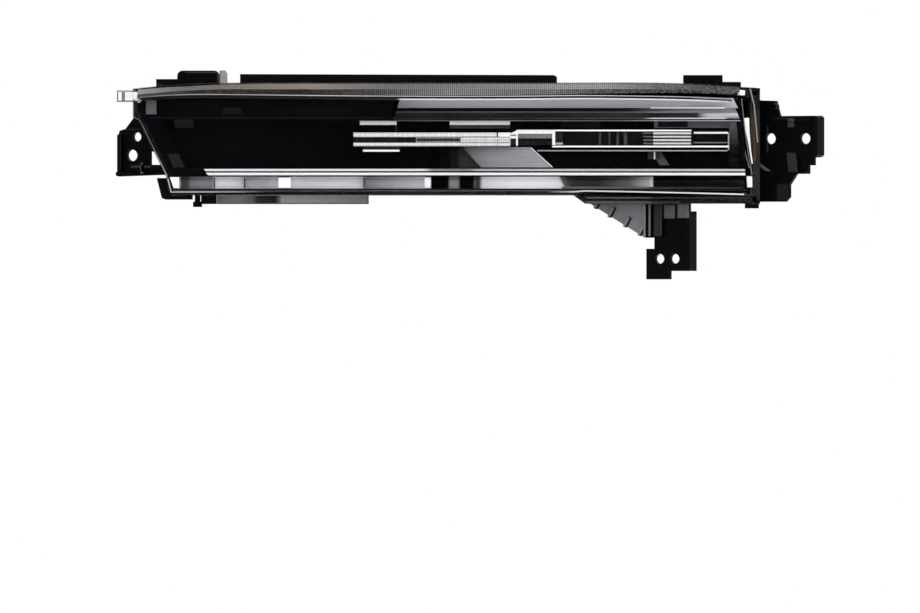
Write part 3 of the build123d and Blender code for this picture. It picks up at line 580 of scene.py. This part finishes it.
# The flange under the left half is painted with the light and reflections it shows, as grey stops along x.
flange_left = silvered("flange_left_tone", -150, -40, (
    (-148, 8, 0), (-138.6, 9, 0), (-137.6, 96, 0.02), (-126, 116, 0.02), (-117, 92, 0.04), (-113.8, 44, 0.2),
    (-103, 30, 0.1), (-100.8, 84, 0), (-99, 146, 0), (-70, 134, 0), (-47, 116, 0)), metal=0.0, brushed=0.12)
panel("flange_left_pane", -138.1, -47.0, -34.8, -29.6, -2.2, -0.2, flange_left, 0.4)
line_clear = clear("line_clear", (0.35, 0.33, 0.33), 0.1, 0.2, 0.4)
panel("flange_left_hem", -138.1, -47.0, -34.9, -34.2, -2.6, -0.4, line_clear, 0.2)
panel("flange_left_end", -47.6, -46.9, -34.8, -29.4, -2.6, -0.4, line_clear, 0.2)


# Edges of the lens, drawn as thin beads and plates with their light painted in: painted highlight lines along
# the crest and the inner corner of the top edge, the slant at the left and the foot, painted reflections on
# shelves at the foot, a painted shadow under the crest, painted glints at the left loop and the right end,
# painted highlight streaks and a dark corner at the right end, and the brown end of the adhesive bead.
def hem(name, first, last, gaps, depths, made):
    """Thin bead that follows the front of the lens over a stretch of its outline, carrying a painted highlight
    line, or a painted shadow line for the bead under the crest: a four-cornered bead between two insets from
    the outline and two depths behind the front."""
    stretch = np.arange(first, last)
    flat_wall = wall(reach)[stretch]
    way = inward[stretch]
    rows = []
    for gap, back in ((gaps[0], depths[0]), (gaps[1], depths[0]), (gaps[1], depths[1]), (gaps[0], depths[1])):
        flat = flat_wall + way * gap
        rows.append(at_depth(flat, arch(flat[:, 0]) + back))
    points = np.array(rows).transpose(1, 0, 2)
    piece = shape(name, points.reshape(-1, 3), solid_faces(len(stretch), 4), made)
    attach(piece, "root")
    return piece


def drawn(name, profile, left, right, made, arched=True, stations=None, prisms=None):
    """Solid of one section along x: the section is a list of (y, z) corners, and its two ends are lines that
    may lean, each given as x at the foot and at the top of the section. Arched is how much of the arch of the
    lens each corner follows, from 0 to 1. Prisms is a pitch and a depth, and makes the front a row of V
    shapes."""
    profile = np.array(profile, float)
    low, high = profile[:, 1].min(), profile[:, 1].max()
    share = (profile[:, 1] - low) / (high - low)
    start = left[0] + (left[1] - left[0]) * share
    end = right[0] + (right[1] - right[0]) * share
    length = end.max() - start.min()
    if prisms:
        stations = 2 * int(length / prisms[0]) + 1
    along = np.linspace(0, 1, stations or max(2, int(length / 8)))[:, None]
    x = start + (end - start) * along
    shift = (arch(x) - arch(crown_x)) * np.asarray(arched, float)
    if prisms:
        front = profile[:, 0] < profile[:, 0].min() + 1.5
        shift = shift + prisms[1] * (np.arange(len(along)) % 2)[:, None] * front
    points = np.stack([x, profile[:, 0] + shift, np.broadcast_to(profile[:, 1], x.shape)], -1)
    piece = shape(name, points.reshape(-1, 3), solid_faces(len(points), len(profile)), made, smooth=30)
    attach(piece, "root")
    return piece


def painted_light(name, value, grain=0.0, warm=-0.01):
    """Clear prismatic plastic with its light painted in: value is the grey it shows, near white where it is lit
    and darker where it is shaded, and for the bead end its own brown; finely grained, glossy.
    """
    made, link = material(name)
    place = link.node("TexCoord", out="Object")
    stretched = link.node("Mapping", (), {"Vector": place, "Scale": (1400.0, 1.0, 90.0)})
    prisms = link.node("TexNoise", (), {"Vector": stretched, "Scale": 1.0, "Detail": 1.0})
    tone = link.mix(prisms * grain, grey(value, warm), grey(value * 0.35, warm))
    surface(link, "BsdfPrincipled", {"Base Color": tone, "Roughness": 0.2, "Specular IOR Level": 0.15})
    return made


# Painted highlight along the crest of the top edge.
crest_highlight = silvered("crest_line", -190, 190, (
    (-186, 80, 0), (-150, 140, 0), (-28, 160, 0), (100, 170, 0), (176, 120, 0)), metal=0.0, brushed=0.2)
hem("lens_crest", 4, top_count - 1, (0.05, 0.6), (0.2, 1.2), crest_highlight)
# Painted shadow: a black bead under the crest.
hem("lens_shadow_edge", 4, top_count - 1, (0.95, 1.7), (0.2, 1.6), black_core)
# Painted highlight along the inner corner of the top edge, dim at the left.
inner_highlight = silvered("inner_edge_line", -190, 190, (
    (-186, 30, 0), (-60, 44, 0), (-30, 52, 0), (-27, 252, 0), (150, 252, 0), (176, 200, 0)), metal=0.0,
    brushed=0.05)
hem("lens_inner_edge", 6, top_count - 2, (1.7, 2.5), (2.4, 3.4), inner_highlight)
# Painted highlight along the slant at the left.
slant_highlight = silvered("slant_highlight", -190, -150, (
    (-188, 60, 0), (-176, 84, 0), (-168, 150, 0), (-160, 120, 0)), metal=0.0, brushed=0.2)
hem("lens_slant_edge", foot_end + 8, len(foot_outline), (0.2, 0.7), (0.6, 1.4), slant_highlight)
# Painted highlight lines on the foot at its two ends, black between.
foot_highlight = silvered("foot_highlight", -190, 190, ((-186, 150, 0), (-150, 140, 0), (-124, 110, 0), (-110, 14, 0),
                                              (60, 14, 0), (78, 170, 0), (178, 200, 0)), metal=0.0, brushed=0.1)
hem("lens_foot_edge", foot_start + 2, foot_end + 8, (0.05, 0.85), (0.2, 1.4), foot_highlight)
# Painted reflections on three thin shelves at the foot, grey stops along x.
shelf_reflection = silvered("foot_shelf_tone", 80, 182, (
    (84, 90, -0.03), (120, 84, -0.03), (124, 50, -0.03), (178, 40, -0.03)), metal=0.0, brushed=0.2)
drawn("foot_shelf_high", [(-34.4, -24.6), (-34.4, -25.7), (-33.6, -25.7), (-33.6, -24.6)], (69.0, 68.4),
      (177.0, 177.0), shelf_reflection, 1)
drawn("foot_shelf_low", [(-10, -30.6), (-10, -31.6), (-8, -31.6), (-8, -30.6)], (84.0, 82.6), (180.0, 180.0),
      shelf_reflection, 0)
drawn("foot_shelf_rim", [(-3.4, -33.0), (-3.4, -34.6), (-2.6, -34.6), (-2.6, -33.0)], (84.0, 83.0),
      (140.0, 140.0), shelf_reflection, 0)
# Painted glints: near white plates at the left loop and the right end.
glint = painted_light("right_glint", 250, 0.2, 0.03)
plate("loop_corner", [(-188.2, loop_low + 1.2), (-185.3, loop_low + 0.4), (-185.3, loop_high - 0.9),
                      (-188.2, loop_high - 1.1)], -3.2, -2.5, glint, 0.1)
# The adhesive bead's own brown, at a painted level of light.
brown = painted_light("bead_brown", 58, 0.7, 0.42)
plate("end_brown", [(182.4, 18.4), (184.6, 18.6), (185.8, 4.0), (185.4, -9.8), (183.8, -9.8)], -3.0, -2.5,
      brown, 0.2)
# Painted highlight streaks down the right end wall.
streak_highlight = painted_light("end_streak", 132, 0.5)
for name, line, wide in (("end_streak_a", ((174.2, 27.6), (178.4, -2.4), (181.4, -13.2)), 0.32),
                         ("end_streak_b", ((176.6, 28.4), (179.4, 4.0), (183.0, -17.4)), 0.26),
                         ("end_streak_c", ((181.8, 34.4), (184.2, 24.6), (186.4, 2.0)), 0.42)):
    line = np.array(line)
    plate(name, np.vstack([line - (wide, 0), line[::-1] + (wide, 0)]), -3.9, -3.4, streak_highlight, 0.05)
plate("glint_corner", [(174.2, 30.4), (178.6, 30.4), (178.9, 33.2), (174.6, 33.8)], -3.4, -2.6, glint, 0.3)
plate("glint_tall", [(178.0, 16.8), (181.2, 16.8), (181.5, 8.0), (182.3, -2.0), (183.5, -10.6), (182.7, -10.6),
                     (180.6, 2.0), (178.8, 10.0)], -3.6, -2.6, glint, 0.2)
plate("glint_foot", [(178.9, -18.2), (183.0, -18.2), (183.2, -24.8), (179.4, -24.8)], -3.6, -2.6, glint, 0.3)
plate("corner_dark", [(179.0, 35.2), (183.2, 34.8), (183.2, 28.4), (180.6, 28.6), (181.4, 31.2)], -3.2, -2.6,
      black_core, 0.1)


# Reflector at the upper right: silvered steps from the edge of the lens down to the recess, with a slanted
# left end. The greys of its steps along x are painted reflections and painted shade; its top facet is painted
# as the long bright field of the lamp, with a painted white highlight line along it at the right. Recess is the
# depth of the wall behind it, where most inner pieces end.
recess = -9
bright = silvered("reflector_field", -32, 190, (
    (-28, 150, -0.06), (-10, 176, -0.06), (40, 182, -0.06), (120, 168, -0.06), (150, 172, -0.06),
    (176, 196, -0.05)), metal=0.1, brushed=0.1)
reflector = drawn("upper_reflector_field",
                  [(-31, 28.6), (-30.4, 27.2), (-29.4, 25.0), (-27.6, 22.6), (recess, 22.6), (recess, 28.6)],
                  (-29.8, -27.9), (174.5, 171.5), bright)
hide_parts("upper_reflector")
# Painted shade and painted reflections of the lower steps and their ridges, as grey stops along x.
shade = silvered("reflector_shade", -36, 190, (
    (-33, 20, -0.1), (60, 18, -0.1), (110, 34, -0.08), (126, 100, -0.06), (160, 186, -0.05), (176, 130, -0.05)),
    metal=0.1)
deep = silvered("reflector_deep", -36, 190, (
    (-33, 30, -0.12), (60, 28, -0.12), (112, 44, -0.1), (124, 26, -0.1), (150, 40, -0.1), (156, 176, -0.05),
    (176, 180, -0.05)), metal=0.1)
ridge = silvered("reflector_ridge", -38, 190, (
    (-33, 84, -0.05), (30, 104, -0.05), (100, 96, -0.05), (120, 130, -0.03), (124, 150, -0.03),
    (170, 170, -0.03)), metal=0.0, brushed=0.04)
faint = silvered("reflector_faint", -38, 190, (
    (-33, 46, -0.05), (40, 62, -0.05), (118, 90, -0.05), (124, 226, -0.02), (166, 226, -0.02), (168, 96, 0)),
    metal=0.0, brushed=0.04)
edge_highlight = painted_light("reflector_edge_highlight", 214)
for name, low, high, face, made in (
        ("reflector_step_a", 20.5, 22.6, -26.0, shade), ("reflector_ridge_a", 19.5, 20.5, -26.6, ridge),
        ("reflector_step_b", 16.7, 19.5, -33.4, deep), ("reflector_ridge_b", 16.0, 16.7, -34.0, faint),
        ("reflector_ridge_c", 14.7, 15.3, -34.0, ridge)):
    lean = [-27.9 - (28.6 - z) * 0.31 for z in (low, high)]
    drawn(name, [(face, high), (face - 0.3, (low + high) / 2), (face + 0.4, low), (recess, low),
                 (recess, high)], lean, [169.8 + (30.0 - z) * 0.4 for z in (low, high)], made)
panel("reflector_line_right", 121.8, 166.6, 22.3, 23.1, -20.0, recess, edge_highlight, 0.2)


# Lower reflector: a trough along the foot of the lens, silvered, with thin fins between its stretches. The
# light and shade of its facets is painted along it as bands of grey, and its near white patches are a painted
# glow.
strip_reflection = silvered("lower_strip", -170, 180, (
    (-168, 250, -0.01), (-160.0, 250, -0.01), (-159.6, 70, -0.06), (-154.2, 96, -0.06), (-153.6, 140, -0.06),
    (-141, 168, -0.05), (-139.2, 250, -0.03), (-122, 240, -0.03), (-121, 204, -0.03), (-108, 210, -0.03),
    (-102, 244, -0.03), (-92, 252, -0.02), (-86, 236, -0.02), (-50.2, 252, -0.02), (-49.2, 168, -0.04),
    (-26, 222, -0.03), (-16, 246, -0.02), (-15, 252, 0)), metal=0.0, brushed=0.12)
trough = [(-30, -18.6), (-16.8, -19.2), (-14.6, -20.6), (-14.2, -22.2), (-14.6, -23.8), (-16.8, -25.2),
          (-30, -25.7), (recess, -25.7), (recess, -18.6)]
lips = [1, 0, 0, 0, 0, 0, 1, 0, 0]
drawn("lower_strip_foot", [(-33, -25.7), (-33.4, -26.2), (-33, -26.8), (recess, -26.8), (recess, -25.7)],
      (-163.5, -164), (179.6, 179.0), black_core)
drawn("lower_strip_left", trough, (-161.5, -165.5), (-9.4, -9.4), strip_reflection, lips, stations=60)
strip_right_reflection = silvered("lower_strip_right", -10, 182, (
    (-9.2, 10, -0.05), (0.9, 10, -0.05), (1.7, 183, -0.03), (7.0, 178, -0.03), (7.5, 8, -0.05),
    (16.0, 8, -0.05), (16.8, 146, -0.05), (17.6, 14, -0.05), (18.8, 110, -0.03), (19.6, 30, -0.03),
    (21.0, 252, -0.01), (68.6, 252, -0.01), (69.6, 112, -0.04), (74, 66, -0.04), (90, 58, -0.03),
    (101, 92, -0.03), (110, 112, -0.03), (119, 182, -0.02), (121.4, 196, 0), (121.9, 252, 0), (123.4, 252, 0),
    (123.9, 14, -0.08), (170, 12, -0.08), (178, 24, -0.05)), metal=0.0, brushed=0.08, slant=(50, 90))
# Painted glow: near white patches in the trough and a bright block at its left end.
strip_glow = painted_light("strip_glow", 238, 0.2)
panel("strip_glow_left", -100.9, -93.4, -25.4, -19.0, -30.2, recess, strip_glow, 0.1)
panel("strip_glow_middle", -13.4, -9.8, -25.4, -19.0, -30.2, recess, strip_glow, 0.1)
plate("strip_lit_block", [(-165.8, -19.0), (-160.4, -19.0), (-160.4, -25.4), (-163.6, -25.4)], -30.0, recess,
      painted_light("block_lit", 252), 0.1)
lower = drawn("lower_strip_right", trough, (-9.4, -9.4), (178.6, 177.8), strip_right_reflection, lips, stations=60)
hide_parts("lower_reflector")
divider = silvered("strip_divider", -170, 180, ((-168, 60, -0.05), (178, 40, -0.05)), metal=0.0, brushed=0.0)
for index, x in enumerate((-139.4, -121.3, -49.7, 123.9)):
    panel("strip_fin_%d" % index, x - 0.3, x + 0.3, -25.6, -18.8, -19.0, recess, divider, 0.1)


# Lower light guide: a clear blade with painted white highlights along its two front edges and a dark grey web
# between them, with a slanted left end.
guide_highlight = painted_light("guide_lit", 214)
fine = silvered("guide_upper_highlight", -150, 180, (
    (-146, 206, 0), (-14, 200, 0), (-9, 120, 0), (13, 110, 0), (18, 150, 0), (60, 166, 0), (178, 172, 0)),
    brushed=0.0, metal=0.0)
guide = drawn("guide_upper_edge", [(-35.0, -13.9), (-35.6, -14.2), (-35.8, -14.8), (-35.4, -15.3), (-3, -15.3),
                                   (-3, -13.9)], (-144.6, -145.6), (178.6, 178.4), fine)
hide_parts("lower_light_guide")
drawn("guide_lower_edge", [(-35.6, -16.2), (-36.2, -16.6), (-36.2, -17.3), (-35.6, -17.8), (-3, -17.8),
                           (-3, -16.2)], (-142.8, -144.4), (178.8, 178.6), guide_highlight)
web_grey = silvered("guide_web", -150, 180, ((-146, 20, 0), (178, 24, 0)), brushed=0.0, metal=0.0)
drawn("guide_web", [(-34.6, -15.2), (-34.6, -16.2), (-3, -16.2), (-3, -15.2)], (-144, -144.2), (178.6, 178.6),
      web_grey)


# Light bar along the middle: two prismatic rails with a dark slot between them, joined on the right by a
# stepped clear block to a thin frame that holds the ribbed louvre lens. Their greys are painted: rail_lit,
# soft_lit and dim_lit paint the light in the prismatic plastic, shadow_lit its shade in slots, notches and
# facets, and the frame's white and grey lines are painted highlights.
rail_lit = painted_light("rail_lit", 250, 0.5)
soft_lit = painted_light("soft_lit", 186, 0.7)
dim_lit = painted_light("dim_lit", 142, 0.5)
shadow_lit = painted_light("shadow_lit", 48, 0.9)
bar = drawn("bar_top_rail", [(-22.0, 7.9), (-22.8, 7.2), (-22.8, 5.8), (-22.0, 5.2), (recess, 5.2),
                             (recess, 7.9)], (-56.0, -56.0), (29.8, 29.8), rail_lit, arched=0,
            prisms=(1.2, 0.5))
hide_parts("centre_light_bar")
drawn("bar_low_rail", [(-22.0, 1.8), (-22.8, 1.2), (-22.8, 0.3), (-22.0, -0.3), (recess, -0.3), (recess, 1.8)],
      (-56.0, -56.0), (38.0, 38.0), rail_lit, arched=0, prisms=(1.2, 0.5))
panel("bar_core_left", -55.8, -18.6, 1.8, 5.2, -17.5, recess, black_core, 0.2)
drawn("bar_core_facets", [(-18.6, 4.3), (-19.0, 3.5), (-18.6, 2.6), (-12, 2.6), (-12, 4.3)], (-54, -54),
      (-19, -19), shadow_lit, 0, prisms=(2.1, 1.0))
drawn("bar_core_middle", [(-20.6, 5.2), (-21.0, 3.5), (-20.6, 1.8), (-12, 1.8), (-12, 5.2)], (-18.6, -18.6),
      (8.4, 8.4), soft_lit, 0, prisms=(0.9, 0.8))
panel("bar_core_slot", -18.0, 7.6, 2.9, 4.2, -21.3, -14, shadow_lit, 0.1)
drawn("bar_core_right", [(-22.0, 5.0), (-22.5, 3.5), (-22.0, 2.0), (-12, 2.0), (-12, 5.0)], (8.4, 8.4),
      (38.0, 38.0), rail_lit, 0, prisms=(1.2, 0.4))
panel("bar_notch_top", 29.9, 30.6, 5.2, 7.9, -20.4, recess, shadow_lit, 0.1)
panel("bar_top_end", 30.6, 38.0, 5.2, 7.9, -22.6, recess, rail_lit, 0.3)
panel("bar_notch_low", 30.0, 30.7, 0.3, 3.4, -22.9, -14, soft_lit, 0.1)
for name, z in (("bar_hairline_high", 5.1), ("bar_hairline_mid", 3.5), ("bar_hairline_low", 2.0)):
    panel(name, 8.6, 37.8, z - 0.12, z + 0.12, -22.8, -20, dim_lit, 0.05)
block = panel("block_top", 42.4, 63.2, 7.1, 9.6, -23.0, recess, rail_lit, 0.3)
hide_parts("bar_collimator")
drawn("block_middle", [(-21.6, 7.1), (-22.2, 5.8), (-21.6, 4.4), (recess, 4.4), (recess, 7.1)], (42.6, 42.6),
      (63.0, 63.0), dim_lit, 0, prisms=(1.0, 0.6))
panel("block_dark", 42.6, 63.2, 0.5, 4.4, -18.0, recess, black_core, 0.2)
drawn("block_dark_facets", [(-18.4, 3.4), (-18.8, 2.5), (-18.4, 1.6), (-14, 1.6), (-14, 3.4)], (43, 43),
      (62.8, 62.8), shadow_lit, 0, prisms=(2.6, 0.8))
panel("block_post", 63.0, 64.8, 0.4, 9.6, -23.0, recess, rail_lit, 0.3)
panel("block_foot", 64.8, 69.4, 0.7, 1.9, -20.0, recess, soft_lit, 0.2)
panel("block_shade", 64.8, 69.4, 1.9, 8.6, -16.0, recess, shadow_lit, 0.2)
panel("step_post", 41.4, 42.5, 0.0, 9.4, -23.2, recess, rail_lit, 0.2)
plate("step_bevel", [(38.0, 6.6), (41.5, 6.6), (41.5, 9.0), (38.0, 7.4)], -22.6, recess, rail_lit, 0.2)
panel("step_dark_high", 38.2, 41.4, 6.0, 6.7, -21.0, recess, black_core, 0.05)
panel("step_bridge", 38.0, 41.5, 4.3, 6.0, -21.8, recess, rail_lit, 0.2)
panel("step_dark_low", 38.2, 40.8, 0.8, 4.2, -21.0, recess, shadow_lit, 0.1)
panel("frame_back", 64.0, 168.2, -3.3, 9.2, -11.5, -8.6, black_core, 0.2)
line_white = painted_light("frame_lit", 244)
line_grey = painted_light("frame_grey", 150)
frame_top = plate("frame_top_line", [(42.6, 8.7), (146.4, 8.7), (146.4, 9.5), (110, 9.6), (42.6, 9.6)], -22.0,
                  recess, line_white, 0.2)
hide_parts("bar_frame")
panel("frame_top_right", 147.6, 168.4, 7.2, 8.3, -21.0, recess, painted_light("frame_right_lit", 214), 0.3)
plate("frame_step_shade", [(134.0, 9.7), (147.9, 9.7), (147.9, 6.9), (146.7, 6.9), (146.7, 9.1), (134.0, 9.1)],
      -21.6, -12, black_core, 0.1)
panel("frame_low_line", 63.0, 168.8, -0.95, 0.0, -22.0, recess, line_white, 0.25)
panel("frame_foot_line", 54.0, 168.0, -3.3, -2.6, -20.0, recess, line_grey, 0.2)
panel("frame_end", 168.2, 169.2, -2.6, 8.0, -21.0, recess, dim_lit, 0.3)
panel("frame_cell_line", 147.8, 168.2, 1.6, 2.15, -18.0, -11, dim_lit, 0.15)
panel("frame_leg_light", 124.0, 124.8, -8.0, -3.6, -12.0, -8, line_white, 0.2)
# Painted light on the frame's facets and the louvre ribs and tails, and painted shade behind the louvre.
frame_facet = painted_light("frame_facet", 74, 0.8)
for index, (x, wide) in enumerate(((90.9, 1.5), (96.9, 1.0), (101.6, 1.5), (105.9, 2.0))):
    panel("frame_facet_%d" % index, x, x + wide, 0.6, 8.5, -14.0 - 0.6 * index, -11, frame_facet, 0.2)
facet_lit = painted_light("facet_lit", 110, 0.6)
louvre_lit = painted_light("louvre_lit", 196, 0.4)
louvre_stripes = ((6.8, 8.16), (4.85, 5.95), (2.7, 4.0), (0.8, 1.95))
for index, (low, high) in enumerate(louvre_stripes):
    louvre = panel("louvre_rib_%d" % index, 123.5, 146.3, low, high, -21.0, -12, louvre_lit, 0.4)
    panel("louvre_tail_%d" % index, 117.6, 123.4, low + 0.2, high - 0.1, -17.0, -12, facet_lit, 0.3)
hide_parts("louvre_lens")
panel("louvre_back", 123.5, 146.4, 0.1, 8.8, -14.0, -11, painted_light("louvre_dark", 44), 0.1)


# Clips that hold the bar, two above it and one below, painted bright as lit, each with a grey foot or side
# painted as its shade.
clip_lit = painted_light("clip_lit", 236)
clip_grey = painted_light("clip_grey", 70)
for name, left, right, low, high in (("clip_left", -52.2, -30.1, 12.5, 14.9),
                                     ("clip_right", 1.6, 37.8, 12.5, 14.9),
                                     ("clip_low", -50.4, -28.4, -3.6, -2.3)):
    clip = panel(name, left, right, low, high, -19.0, -8.4, clip_lit, 0.3)
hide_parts("bar_retainers")
panel("clip_right_foot", 1.6, 37.8, 10.4, 12.4, -11.0, -8.4, clip_grey, 0.3)
panel("clip_left_edge", -30.8, -30.1, 9.0, 12.6, -11.0, -8.4, clip_grey, 0.1)
panel("clip_low_edge", -50.4, -28.0, -1.6, -0.8, -11.0, -8.4, clip_grey, 0.1)


# Slanted grey trim under the bar, its grey rising to the right as a painted reflection, with a painted
# highlight on its thin bright edge, and the pale pillar at the right end, its grey rising upwards as a painted
# reflection.
finish("centre_trim", silvered("trim_violet", 8, 66, (
    (9, 64, -0.05), (12, 104, -0.05), (26, 150, -0.05), (48, 166, -0.05), (62, 184, -0.05)), metal=0.05,
    brushed=0.2))
plate("trim_edge", [(49.7, -0.9), (50.5, -0.9), (63.6, -12.8), (62.8, -12.8)], -13.0, -8.4, line_white, 0.1)
plate("trim_left_edge", [(9.4, -1.0), (9.9, -1.0), (14.6, -6.0), (14.1, -6.0)], -12.2, -8.4, clip_grey, 0.05)
finish("end_reflector", silvered("end_pale", -20, 34, (
    (-18, 6, -0.05), (-2, 10, -0.05), (4, 44, -0.05), (16, 84, -0.06), (30, 96, -0.06)), axis="Z", metal=0.0))


# Adhesive bead, boards, heat sink, screws and pins: what is behind, each with its own plain finish.
seal_brown, link = material("seal_brown")
bead = steps(link, across(link, "X"), -190, 190, ((-188, 8, 0), (160, 8, 0), (176, 70, 0.35), (188, 84, 0.4)))
surface(link, "BsdfPrincipled", {"Base Color": bead, "Roughness": 0.55, "Specular IOR Level": 0.3})
finish("lens_seal", seal_brown)
finish("main_circuit_board", moulded("board_green", (0.012, 0.045, 0.022), 0.45, 0.4, 0.1, 900))
finish("guide_circuit_board", moulded("board_green_low", (0.012, 0.045, 0.022), 0.45, 0.4, 0.1, 900))
for name in ("main_leds", "guide_leds"):
    finish(name, moulded(name + "_ceramic", (0.7, 0.66, 0.45), 0.4, 0.4, 0.05, 1500))
finish("heat_sink", silvered("cast_aluminium", -70, 60, (
    (-60, 150, 0), (50, 160, 0)), roughness=0.42, metal=0.85, brushed=0.05))
for name in ("heat_sink_screws", "bezel_screws", "board_screws", "driver_screws"):
    finish(name, silvered(name + "_zinc", -200, 200, (
        (-190, 165, 0.02), (190, 165, 0.02)), roughness=0.3, metal=0.9, brushed=0.05))
finish("connector_pins", silvered("pins_tin", -200, 200, (
    (-190, 190, 0.02), (190, 190, 0.02)), roughness=0.25, metal=0.9, brushed=0.03))
